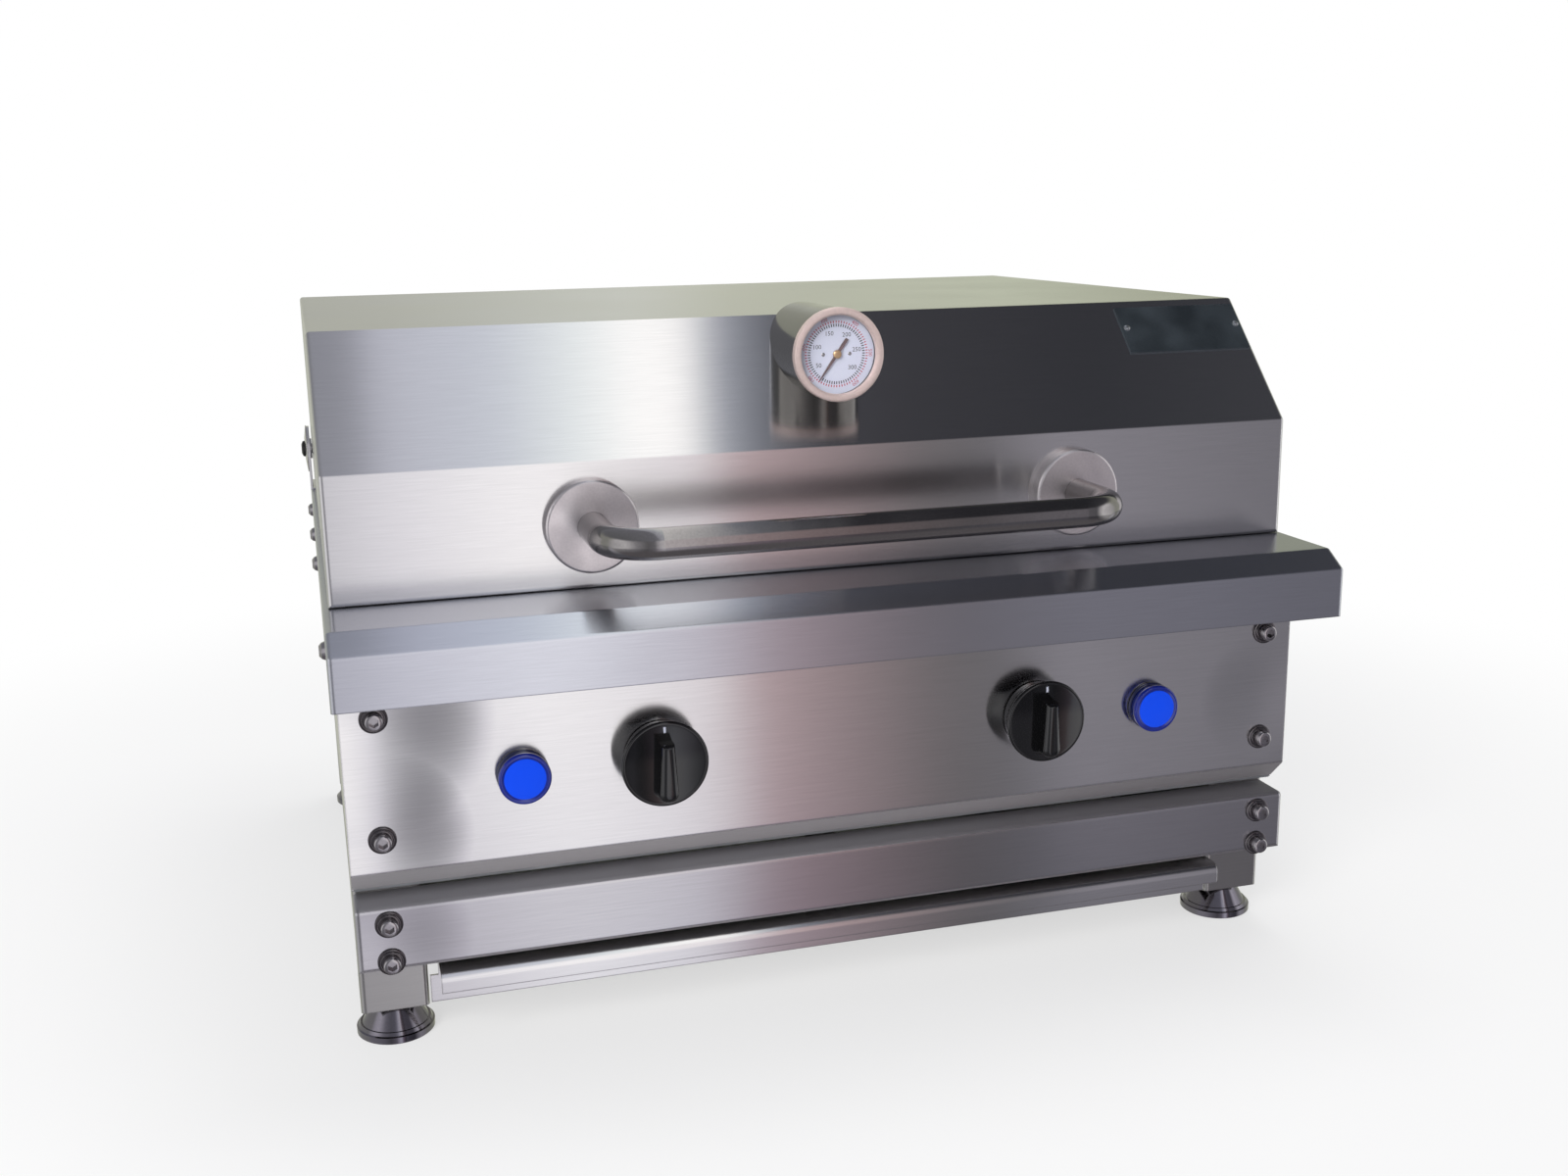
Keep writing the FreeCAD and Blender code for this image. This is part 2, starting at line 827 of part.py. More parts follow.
def make_front_rail():
    rail = Piece("front_rail")
    rail.pad("X", -half_width, half_width,
             rectangle(rail_front, rail_bottom, frame_front, rail_top))
    rail.fillet(S.rail_edge,
                edge_at("X", y=rail_front, z=rail_top), edge_at("X", y=rail_front, z=rail_bottom),
                edge_at("Z", x=-half_width, y=rail_front), edge_at("Z", x=half_width, y=rail_front),
                edge_at("Y", x=-half_width, z=rail_top), edge_at("Y", x=half_width, z=rail_top))
    rail.pocket("Y", rail_front + S.sheet, frame_front + OVERCUT,
                rectangle(-inside_half, rail_bottom + S.sheet, inside_half, rail_top - S.sheet))
    holes = [Hole(side * screw_x, row, S.screw_hole)
             for _, side in SIDES for row in rail_screw_rows]
    rail.pocket("Y", rail_front - OVERCUT, rail_front + OVERCUT, *holes)
    node("front_rail", rail.body)


def make_rear_and_side_rails():
    wall = S.leg_wall
    inner_height = S.rail_height - wall * 2
    outer = box(-leg_inner, frame_rear - S.rail_depth, rail_bottom,
                leg_inner * 2, S.rail_depth, S.rail_height)
    hollow = box(-leg_inner - OVERCUT, frame_rear - S.rail_depth - OVERCUT, rail_bottom + wall,
                 leg_inner * 2 + OVERCUT * 2, S.rail_depth + OVERCUT - wall, inner_height)
    node("rear_rail", cut(outer, hollow))
    start = frame_front + S.leg_width
    length = frame_rear - S.leg_width - start
    rails = []
    for _, side in SIDES:
        low = half_width - S.rail_depth if side > 0 else -half_width
        hollow_low = low - OVERCUT if side > 0 else low + wall
        outer = box(low, start, rail_bottom, S.rail_depth, length, S.rail_height)
        hollow = box(hollow_low, start - OVERCUT, rail_bottom + wall,
                     S.rail_depth + OVERCUT - wall, length + OVERCUT * 2, inner_height)
        rails.append(cut(outer, hollow))
    node("side_rails", group(*rails))


def make_runners():
    start = frame_front + S.sheet + S.seat_gap * 2
    length = frame_rear - S.rail_depth - S.seat_gap - start
    low_ledge = drawer_top - S.sheet - S.runner_gap - S.runner_sheet
    high_ledge = drawer_top + S.runner_gap
    tall = high_ledge + S.runner_sheet - low_ledge
    runners = []
    for _, side in SIDES:
        web_x = runner_web if side > 0 else -leg_inner
        ledge_x = leg_inner - S.runner_ledge if side > 0 else -leg_inner
        web = box(web_x, start, low_ledge, S.runner_sheet, length, tall)
        low = box(ledge_x, start, low_ledge, S.runner_ledge, length, S.runner_sheet)
        high = box(ledge_x, start, high_ledge, S.runner_ledge, length, S.runner_sheet)
        runners.append(join(web, low, high))
    node("drawer_runners", group(*runners))


# Grease drawer

def make_drawer():
    front = frame_front
    tray = Piece("drawer_tray")
    tray.pad("Z", drawer_bottom, drawer_top,
             rectangle(-tray_half, front, tray_half, drawer_rear))
    tray.pocket("Z", drawer_bottom + S.sheet, drawer_top + OVERCUT,
                rectangle(-tray_half + S.sheet, front + S.sheet,
                          tray_half - S.sheet, drawer_rear - S.sheet))
    pull_half = drawer_half - S.pull_inset
    tab_top = drawer_bottom + S.drawer_tab
    tray.pad("Y", front, front + S.sheet, [
        (-drawer_half, drawer_bottom),
        (drawer_half, drawer_bottom),
        (drawer_half, tab_top),
        (pull_half, tab_top),
        (pull_half, drawer_top),
        (-pull_half, drawer_top),
        (-pull_half, tab_top),
        (-drawer_half, tab_top),
    ])
    flange_start = front + S.sheet + S.seat_gap * 2
    wall = S.sheet / 2
    for _, side in SIDES:
        near = side * (tray_half - wall)
        far = side * drawer_flange_half
        tray.pad("Z", drawer_top - S.sheet, drawer_top,
                 rectangle(near, flange_start, far, drawer_rear))
    pull_front = front - S.pull_reach
    low = drawer_top - S.pull_drop
    tray.pad("X", -pull_half, pull_half, [
        (front + S.sheet / 2, drawer_top),
        (pull_front, drawer_top),
        (pull_front, low),
        (pull_front + S.sheet, low),
        (pull_front + S.sheet, drawer_top - S.sheet),
        (front + S.sheet / 2, drawer_top - S.sheet),
    ])
    tray.fillet(S.pull_bend, edge_at("X", y=pull_front, z=drawer_top))
    tray.fillet(S.pull_bend - S.sheet,
                edge_at("X", y=pull_front + S.sheet, z=drawer_top - S.sheet))
    node("drawer_tray", tray.body)


# Body

def make_side_panels():
    """Each side's front edge follows the control panel, and carries a flange for it."""
    for name, side in SIDES:
        panel = Piece("side_panel_" + name)
        outer = half_width * side
        inner = inside_half * side
        low_x = -half_width if side < 0 else inside_half
        panel.pad("X", low_x, low_x + S.sheet, [
            (panel_back, worktop_under),
            (panel_back, panel_inner_bend),
            (return_end_y, return_end_z),
            (return_end_y, body_bottom),
            (frame_rear, body_bottom),
            (frame_rear, worktop_under),
        ])
        panel.pad("Z", panel_bend + S.bend, panel_top - S.bend,
                  rectangle(outer, panel_back, inner - side * S.flange_width,
                            panel_back + S.sheet))
        rear_front = rear_face - S.sheet * 2
        panel.pad("Z", body_bottom + S.sheet, worktop_under,
                  rectangle(outer - side * (S.sheet / 2), rear_front,
                            inner - side * S.flange_width / 2, rear_front + S.sheet))
        holes = [Hole(y, side_screw_z, S.rivet_body) for y in side_screw_places]
        panel.pocket("X", low_x - OVERCUT, low_x + S.sheet + OVERCUT, *holes)
        front_holes = [Hole(side * screw_x, row, S.rivet_body) for row in panel_screw_rows]
        panel.pocket("Y", panel_face, panel_back + S.sheet + OVERCUT, *front_holes)
        node("side_panel_" + name, panel.body)


def make_rear_panel():
    panel = Piece("rear_panel")
    panel.pad("Y", rear_face - S.sheet, rear_face,
              rectangle(-inside_half, body_bottom + S.sheet, inside_half, worktop_under))
    panel.pocket("Y", rear_face - OVERCUT, rear_face + OVERCUT,
                 Hole(half_width - S.gland_inset, body_bottom + S.gland_height, S.gland_thread))
    slot_half = S.vent_width / 2
    for row in range(VENT_ROWS):
        low = body_bottom + S.vent_rise + S.vent_pitch * row
        slots = [rectangle(side * S.vent_offset - slot_half, low,
                           side * S.vent_offset + slot_half, low + S.vent_height)
                 for _, side in SIDES]
        panel.pocket("Y", rear_face - OVERCUT, rear_face + OVERCUT, *slots)
    node("rear_panel", panel.body)


def make_bottom_plate():
    plate = Piece("bottom_plate")
    plate.pad("Z", body_bottom, body_bottom + S.sheet,
              rectangle(-inside_half, panel_edge, inside_half, rear_face))
    plate.pocket("Z", body_bottom - OVERCUT, body_bottom + OVERCUT,
                 Hole(ZERO, drain_y, drain_gap_radius))
    node("bottom_plate", plate.body)


def make_control_panel():
    """A flat sheet whose lower edge turns back at 45 degrees."""
    panel = Piece("control_panel")
    panel.pad("X", -half_width, half_width, [
        (panel_face, panel_top),
        (panel_face, panel_bend),
        (panel_edge, panel_bend - S.panel_return),
        (return_end_y, return_end_z),
        (panel_back, panel_inner_bend),
        (panel_back, panel_top),
    ])
    panel.fillet(S.bend, edge_at("X", y=panel_face, z=panel_bend))
    panel.fillet(S.bend - S.sheet, edge_at("X", y=panel_back, z=panel_inner_bend))
    holes = []
    for _, side in SIDES:
        holes.append(Hole(side * knob_x, knob_z, S.bush_radius + S.seat_gap))
        holes.append(Hole(side * lamp_x, lamp_z, S.lamp_barrel + S.seat_gap / 2))
        for row in panel_screw_rows:
            holes.append(Hole(side * screw_x, row, S.screw_hole))
    panel.pocket("Y", panel_face - OVERCUT, panel_face + OVERCUT, *holes)
    node("control_panel", panel.body)


def make_worktop():
    apron = lid_front - S.apron_reach
    nosing_z = worktop_top - S.nosing_drop
    low = worktop_top - S.apron_depth
    nosing_y = apron + S.nosing_run
    top = Piece("worktop")
    top.pad("X", -worktop_half, worktop_half, [
        (apron, low),
        (apron, nosing_z),
        (nosing_y, worktop_top),
        (lid_rear, worktop_top),
        (lid_rear, low),
    ])
    tests = [edge_at("X", y=apron, z=nosing_z), edge_at("X", y=nosing_y, z=worktop_top),
             edge_at("X", y=lid_rear, z=worktop_top)]
    for _, side in SIDES:
        x = side * worktop_half
        tests.append(edge_at("Y", x=x, z=worktop_top))
        tests.append(edge_at("Z", x=x, y=apron))
        tests.append(edge_at("Z", x=x, y=lid_rear))
        tests.append(edge_at(None, x=x, y=(apron + nosing_y) / 2))
    top.fillet(S.bend, *tests)
    inner_half = worktop_half - S.worktop_sheet
    top.pocket("X", -inner_half, inner_half,
               inside_fold(apron, low - OVERCUT, nosing_z, S.nosing_run, S.nosing_drop,
                           lid_rear, worktop_top, S.worktop_sheet))
    gap = S.griddle_gap
    top.pocket("Z", worktop_under - OVERCUT, worktop_top + OVERCUT,
               rectangle(-griddle_half - gap, griddle_front - gap,
                         griddle_half + gap, griddle_rear + gap))
    holes = [Hole(y, side_screw_z, S.screw_hole) for y in side_screw_places]
    top.pocket("X", -worktop_half - OVERCUT, worktop_half + OVERCUT, *holes)
    node("worktop", top.body)


# Griddle and heating

def make_griddle():
    plate = Piece("griddle_plate")
    plate.pad("Z", griddle_under, griddle_top,
              rectangle(-griddle_half, griddle_front, griddle_half, griddle_rear))
    side_edge = griddle_half - S.trough_side
    plate.pocket("Z", griddle_top - S.trough_depth, griddle_top + OVERCUT,
                 rectangle(-side_edge, trough_front, side_edge, trough_rear))
    plate.pocket("Z", griddle_under - OVERCUT, griddle_top, Hole(ZERO, drain_y, S.drain_bore))
    guard = S.upstand_thick
    guard_inner = griddle_half - guard
    plate.pad("Z", griddle_top, griddle_top + S.upstand_height, [
        (-griddle_half, trough_rear),
        (-griddle_half, griddle_rear),
        (griddle_half, griddle_rear),
        (griddle_half, trough_rear),
        (guard_inner, trough_rear),
        (guard_inner, griddle_rear - guard),
        (-guard_inner, griddle_rear - guard),
        (-guard_inner, trough_rear),
    ])
    for _, side in SIDES:
        for x in (stud_outer, stud_inner):
            for y in clamp_rows:
                plate.pad("Z", griddle_under - S.stud_drop, griddle_under + S.sheet,
                          Hole(side * x, y, S.screw_radius))
    node("griddle_plate", plate.body)


def make_plate_supports():
    start = griddle_front + S.trough_edge
    length = griddle_rear - S.trough_edge - start
    supports = []
    for _, side in SIDES:
        leg_x = inside_half - S.sheet if side > 0 else -inside_half
        ledge_x = inside_half - S.support_ledge if side > 0 else -inside_half
        leg = box(leg_x, start, griddle_under - S.support_tall, S.sheet, length, S.support_tall)
        ledge = box(ledge_x, start, griddle_under - S.sheet, S.support_ledge, length, S.sheet)
        supports.append(join(leg, ledge))
    node("plate_supports", group(*supports))


def make_elements():
    """Each element snakes back and forth under one half of the plate."""
    elements = []
    bend = element_pitch / 2
    front = griddle_front + S.element_front
    rear = griddle_rear - S.element_rear
    tip = griddle_front - S.element_end
    for _, side in SIDES:
        parts = []
        for leg in range(ELEMENT_LEGS):
            x = side * (S.element_inner + element_pitch * leg)
            start = tip if leg in (0, ELEMENT_LEGS - 1) else front
            parts.append(rod("Y", x, start, element_z, S.element_radius, rear - start))
            if leg in (0, ELEMENT_LEGS - 1):
                parts.append(rod("Y", x, tip - S.terminal_length, element_z,
                                 S.terminal_radius, S.terminal_length + S.sheet))
        for leg, y, rotation in ((0, rear, None), (1, front, HALF_TURN), (2, rear, None)):
            elbow = doc.addObject("Part::Torus", "elbow")
            if rotation is not None:
                elbow.Placement = FreeCAD.Placement(V(), rotation)
            bind(elbow, "Radius1", bend)
            bind(elbow, "Radius2", S.element_radius)
            elbow.Angle3 = 180
            place(elbow, side * (S.element_inner + element_pitch * leg + bend), y, element_z)
            parts.append(elbow)
        elements.append(join(*parts))
    node("heating_elements", group(*elements))


def make_clamps():
    bar_top = element_z - S.element_radius - S.element_gap
    bar_low = bar_top - S.clamp_thick
    near = S.element_inner - S.clamp_over
    length = element_span + S.clamp_over * 2
    bars = []
    nuts = []
    for _, side in SIDES:
        for y in clamp_rows:
            low_x = near if side > 0 else -near - length
            bar = box(low_x, y - S.clamp_width / 2, bar_low, length, S.clamp_width, S.clamp_thick)
            holes = []
            for x in (stud_outer, stud_inner):
                holes.append(rod("Z", side * x, y, bar_low - OVERCUT, S.screw_hole,
                                 S.clamp_thick + OVERCUT * 2))
                nut = hexagon("Z", side * x, y, bar_low - S.clamp_nut,
                              S.clamp_nut_radius, S.clamp_nut)
                bore = rod("Z", side * x, y, bar_low - S.clamp_nut - OVERCUT, S.screw_radius,
                           S.clamp_nut + OVERCUT * 2)
                nuts.append(cut(nut, bore))
            bars.append(cut(bar, *holes))
    node("element_clamps", group(*bars))
    node("clamp_nuts", group(*nuts))


def make_heat_shield():
    shield = Piece("heat_shield")
    top = griddle_under - S.shield_drop + S.shield_sheet
    low = top - S.shield_sheet
    inner = inside_half - S.shield_sheet
    shield.pad("Y", griddle_front + S.sheet, griddle_rear, [
        (-inside_half, low),
        (inside_half, low),
        (inside_half, top + S.shield_side),
        (inner, top + S.shield_side),
        (inner, top),
        (-inner, top),
        (-inner, top + S.shield_side),
        (-inside_half, top + S.shield_side),
    ])
    shield.pocket("Z", low - OVERCUT, top + OVERCUT, Hole(ZERO, drain_y, drain_gap_radius))
    node("heat_shield", shield.body)


def make_drain_tube():
    low = drawer_top + S.drain_clear
    length = griddle_under - low
    outer = rod("Z", ZERO, drain_y, low, drain_outer, length)
    bore = rod("Z", ZERO, drain_y, low - OVERCUT, S.drain_bore, length + OVERCUT * 2)
    node("drain_tube", cut(outer, bore))


# Controls

def make_thermostats():
    for name, side in SIDES:
        x = side * knob_x
        case = box(x - S.stat_width / 2, panel_back, knob_z - S.stat_tall / 2,
                   S.stat_width, S.stat_depth, S.stat_tall)
        bush_start = panel_face - S.bush_out
        bush = rod("Y", x, bush_start, knob_z, S.bush_radius, S.bush_out + S.sheet * 2)
        tabs = [box(x + shift * S.tab_offset, panel_back + S.stat_depth - S.sheet,
                    knob_z - S.tab_width / 2, S.sheet, S.tab_length, S.tab_width)
                for shift in (-1, 1)]
        bore = rod("Y", x, bush_start - OVERCUT, knob_z, S.spindle_radius + S.shaft_gap,
                   OVERCUT + S.bush_out + S.sheet + S.spindle_in + S.seat_gap)
        node("thermostat_" + name, cut(join(case, bush, *tabs), bore))
        spindle_start = panel_face - S.spindle_out
        spindle_length = S.spindle_out + S.sheet + S.spindle_in
        shaft = rod("Y", x, spindle_start, knob_z, S.spindle_radius, spindle_length)
        flat = box(x - S.spindle_radius, spindle_start - OVERCUT,
                   knob_z + S.spindle_radius - S.spindle_flat / 2, S.spindle_radius * 2,
                   OVERCUT + S.spindle_out - S.knob_gap - S.bush_out - S.seat_gap, S.spindle_flat)
        node("spindle_" + name, cut(shaft, flat))


def make_bulbs():
    """Each bulb lies under the plate, and its capillary runs forward and down to the thermostat."""
    bulb_x = S.element_inner + element_pitch / 2
    bulb_z = griddle_under - S.element_gap - S.bulb_radius
    start = griddle_front + S.bulb_front
    down_y = panel_back + S.stat_depth / 2
    parts = []
    for _, side in SIDES:
        x = side * bulb_x
        bulb = rod("Y", x, start, bulb_z, S.bulb_radius, S.bulb_length)
        tube = doc.addObject("Part::Feature", "capillary")
        tube.Shape = bent_tube([
            (x, start + S.sheet, bulb_z),
            (x, down_y, bulb_z),
            (x, down_y, knob_z),
            (side * (knob_x - S.stat_width / 2), down_y, knob_z),
        ], S.capillary_radius, S.capillary_bend)
        parts.append(join(bulb, tube))
    node("thermostat_bulbs", group(*parts))


def make_knobs():
    reach = -S.knob_gap
    face = reach - S.knob_depth
    top = face - S.grip_height
    for name, side in SIDES:
        knob = Piece("knob_" + name)
        knob.turn("Y", [
            (S.spindle_radius + S.shaft_gap / 2, reach),
            (S.knob_boss, reach),
            (S.knob_boss, reach - S.knob_hollow),
            (S.knob_skirt - S.knob_wall, reach - S.knob_hollow),
            (S.knob_skirt - S.knob_wall, reach),
            (S.knob_skirt, reach),
            (S.knob_skirt, reach - S.knob_edge * 2),
            (S.knob_face, face + S.knob_edge),
            (S.knob_face - S.knob_edge, face),
            (ZERO, face),
            (ZERO, face + S.knob_wall),
            (S.spindle_radius + S.shaft_gap / 2, face + S.knob_wall),
        ])
        round_z = S.grip_half - S.grip_low
        knob.pad("Y", top, face + S.sheet, [
            (-S.grip_half, round_z),
            Turn((ZERO, round_z), (S.grip_half, round_z), "u"),
            (S.grip_top_half, S.grip_high),
            (-S.grip_top_half, S.grip_high),
        ])
        knob.fillet(S.grip_edge, level_at("Y", top))
        knob.at(side * knob_x, panel_face, knob_z)
        node("knob_" + name, knob.body)


def make_lamps():
    flange = -S.lamp_flange_height
    front = flange - S.lens_height
    lenses = []
    nuts = []
    for name, side in SIDES:
        x = side * lamp_x
        lamp = Piece("pilot_lamp_" + name)
        lamp.turn("Y", [
            (ZERO, flange),
            (S.lamp_flange - S.knob_edge, flange),
            (S.lamp_flange, flange + S.knob_edge),
            (S.lamp_flange, ZERO),
            (S.lamp_barrel, ZERO),
            (S.lamp_barrel, S.lamp_barrel_length),
            (ZERO, S.lamp_barrel_length),
        ])
        lamp.at(x, panel_face, lamp_z)
        node("pilot_lamp_" + name, lamp.body)
        lens = Piece("lamp_lens_" + name)
        lens.turn("Y", [
            (ZERO, flange),
            (S.lens_radius, flange),
            (S.lens_radius - S.lens_rim / 2, front + S.lens_rim),
            (S.lens_radius - S.lens_rim, front),
            (S.lens_face + S.lens_rim / 2, front),
            (S.lens_face, front + S.lens_rim),
            (ZERO, front + S.lens_rim),
        ])
        lenses.append(lens.at(x, panel_face, lamp_z).body)
        ring = rod("Y", x, panel_back, lamp_z, S.lamp_nut_radius, S.lamp_nut)
        bore = rod("Y", x, panel_back - OVERCUT, lamp_z, S.lamp_barrel, S.lamp_nut + OVERCUT * 2)
        nuts.append(cut(ring, bore))
    node("lamp_lenses", group(*lenses))
    node("lamp_nuts", group(*nuts))


def make_wiring_parts():
    base = body_bottom + S.sheet
    y = rear_face - S.block_back
    x = half_width - S.block_inset
    block = box(x - S.block_width / 2, y, base, S.block_width, S.block_depth, S.block_height)
    wells = [rod("Z", x + S.block_screw_pitch * step, y + S.block_depth / 2,
                 base + S.block_height / 2, S.block_screw, S.block_height)
             for step in (-1, 0, 1)]
    node("terminal_block", cut(block, *wells))
    x = half_width - S.gland_inset
    z = body_bottom + S.gland_height
    inner = rear_face - S.sheet - S.gland_nut * 2
    thread = rod("Y", x, inner, z, S.gland_thread, S.gland_nut * 2 + S.sheet + S.gland_hex_height)
    flange = hexagon("Y", x, rear_face, z, S.gland_hex, S.gland_hex_height)
    dome = rod("Y", x, rear_face, z, S.gland_dome, S.gland_hex_height + S.gland_dome_height)
    bore = rod("Y", x, inner - OVERCUT, z, S.gland_bore,
               OVERCUT * 2 + S.gland_nut * 2 + S.sheet + S.gland_hex_height + S.gland_dome_height)
    node("cable_gland", cut(join(thread, flange, dome), bore))
    nut = hexagon("Y", x, rear_face - S.sheet - S.gland_nut, z, S.gland_hex, S.gland_nut)
    nut_bore = rod("Y", x, inner, z, S.gland_thread, S.gland_nut * 2 + OVERCUT)
    node("gland_nut", cut(nut, nut_bore))


# Fasteners of the base

def six_corners(corner):
    """The outline of a hexagon socket by its corner radius."""
    half = corner / 2
    flat = corner * math.sqrt(3.0) / 2
    return [(corner, ZERO), (half, flat), (-half, flat), (-corner, ZERO), (-half, -flat), (half, -flat)]


def cap_screw(name, length):
    """A cap screw along Y with its head's seat at the origin."""
    screw = Piece(name)
    edge = S.cap_head_edge
    screw.turn("Y", [
        (ZERO, -S.cap_head_height),
        (S.cap_head_radius - edge, -S.cap_head_height),
        (S.cap_head_radius, -S.cap_head_height + edge),
        (S.cap_head_radius, ZERO),
        (S.screw_radius, ZERO),
        (S.screw_radius, length),
        (ZERO, length),
    ])
    screw.pocket("Y", -S.cap_head_height - OVERCUT, -S.cap_head_height + S.socket_depth,
                 six_corners(S.socket_radius))
    return screw


def make_panel_and_rail_screws():
    panel_length = S.washer_height + S.sheet + S.rivet_length / 2
    rail_length = S.washer_height + S.rail_depth + S.leg_wall / 2
    panel_master = cap_screw("panel_screw", panel_length)
    rail_master = cap_screw("rail_screw", rail_length)
    panel_copies = []
    rail_copies = []
    washers = []

    def washer(x, y, z):
        disc = rod("Y", x, y - S.washer_height, z, S.washer_radius, S.washer_height)
        hole = rod("Y", x, y - S.washer_height - OVERCUT, z, S.screw_hole,
                   S.washer_height + OVERCUT * 2)
        washers.append(cut(disc, hole))

    for _, side in SIDES:
        x = side * screw_x
        for row in panel_screw_rows:
            panel_copies.append(copy_at(panel_master.body, x, panel_face - S.washer_height, row))
            washer(x, panel_face, row)
        for row in rail_screw_rows:
            rail_copies.append(copy_at(rail_master.body, x, rail_front - S.washer_height, row))
            washer(x, rail_front, row)
    node("panel_screws", group(*panel_copies))
    node("rail_screws", group(*rail_copies))
    node("screw_washers", group(*washers))


def make_side_screws():
    """Button head screws whose shanks run along X, seat at the origin, head to +X."""
    screw = Piece("side_screw")
    length = S.worktop_sheet + S.rivet_head + S.rivet_length / 2
    screw.turn("X", [
        (-length, ZERO),
        (-length, S.screw_radius),
        (ZERO, S.screw_radius),
        (ZERO, S.button_radius),
        (S.button_waist_height, S.button_waist_radius),
        (S.button_height, S.button_top_radius),
        (S.button_height, ZERO),
    ])
    screw.pocket("X", S.button_height - S.button_socket_depth, S.button_height + OVERCUT,
                 six_corners(S.button_socket_radius))
    copies = []
    for _, side in SIDES:
        turn = HALF_TURN if side < 0 else None
        for y in side_screw_places:
            copies.append(copy_at(screw.body, side * worktop_half, y, side_screw_z, turn))
    node("side_screws", group(*copies))


def make_rivet_nuts():
    """Threaded rivets: headed ones in the side panels, flush ones in their front flanges."""
    nuts = []
    bore_length = S.rivet_length + S.rivet_head + OVERCUT * 2
    for _, side in SIDES:
        for y in side_screw_places:
            head_x = half_width if side > 0 else -flange_inner
            body_x = flange_inner - S.rivet_length if side > 0 else -flange_inner
            head = rod("X", head_x, y, side_screw_z, S.rivet_head_radius, S.rivet_head)
            body = rod("X", body_x, y, side_screw_z, S.rivet_body, S.rivet_length)
            bore = rod("X", body_x - OVERCUT, y, side_screw_z, S.screw_radius, bore_length)
            nuts.append(cut(join(head, body), bore))
        for row in panel_screw_rows:
            x = side * screw_x
            collar = rod("Y", x, panel_back + S.sheet, row, S.rivet_head_radius, S.rivet_head)
            body = rod("Y", x, panel_back, row, S.rivet_body, S.rivet_length)
            bore = rod("Y", x, panel_back - OVERCUT, row, S.screw_radius, bore_length)
            nuts.append(cut(join(collar, body), bore))
    node("rivet_nuts", group(*nuts))


# Lid

def make_lid_shell():
    corner = pivot_z - S.pivot_inset
    step_y = pivot_y - S.pivot_reach
    lid = Piece("lid_shell")
    lid.pad("X", -half_width, half_width, [
        (lid_front, lid_bottom),
        (lid_front, crease),
        (lid_front + S.slope_run, lid_top),
        (lid_rear, lid_top),
        (lid_rear, pivot_z),
        Turn((pivot_y, pivot_z), (pivot_y, corner), "v", clockwise=True),
        (step_y, corner),
        (step_y - (corner - lid_bottom), lid_bottom),
    ])
    tests = [
        edge_at("X", y=lid_front, z=lid_bottom),
        edge_at("X", y=lid_front, z=crease),
        edge_at("X", y=lid_front + S.slope_run, z=lid_top),
        edge_at("X", y=lid_rear, z=lid_top),
    ]
    for _, side in SIDES:
        x = side * half_width
        tests.append(edge_at("Z", x=x, y=lid_front))
        tests.append(edge_at(None, x=x, y=lid_front + S.slope_run / 2))
        tests.append(edge_at("Y", x=x, z=lid_top))
        tests.append(edge_at("Z", x=x, y=lid_rear))
    lid.fillet(S.bend, *tests)
    inner = inside_fold(lid_front, lid_bottom + S.sheet, crease, S.slope_run, slope_rise,
                        lid_rear, lid_top, S.sheet)
    below = lid_bottom - OVERCUT
    inner[-1] = (lid_rear - S.sheet, below)
    inner += [(lid_front + S.hem, below), (lid_front + S.hem, lid_bottom + S.sheet)]
    lid.pocket("X", -inside_half, inside_half, inner)
    lid.pocket("Y", lid_front - OVERCUT, lid_front + OVERCUT,
               *[Hole(side * S.handle_half, handle_z, S.handle_screw + S.seat_gap / 2)
                 for _, side in SIDES])
    lid.pocket("X", -half_width - OVERCUT, half_width + OVERCUT,
               Hole(pivot_y, pivot_z, S.hinge_bolt + S.shaft_gap))
    lid.pocket("Y", lid_front + S.bezel_depth, lid_front + S.slope_run + OVERCUT,
               Hole(ZERO, gauge_z, S.probe_radius + S.seat_gap * 2))
    node("lid_shell", lid.body)


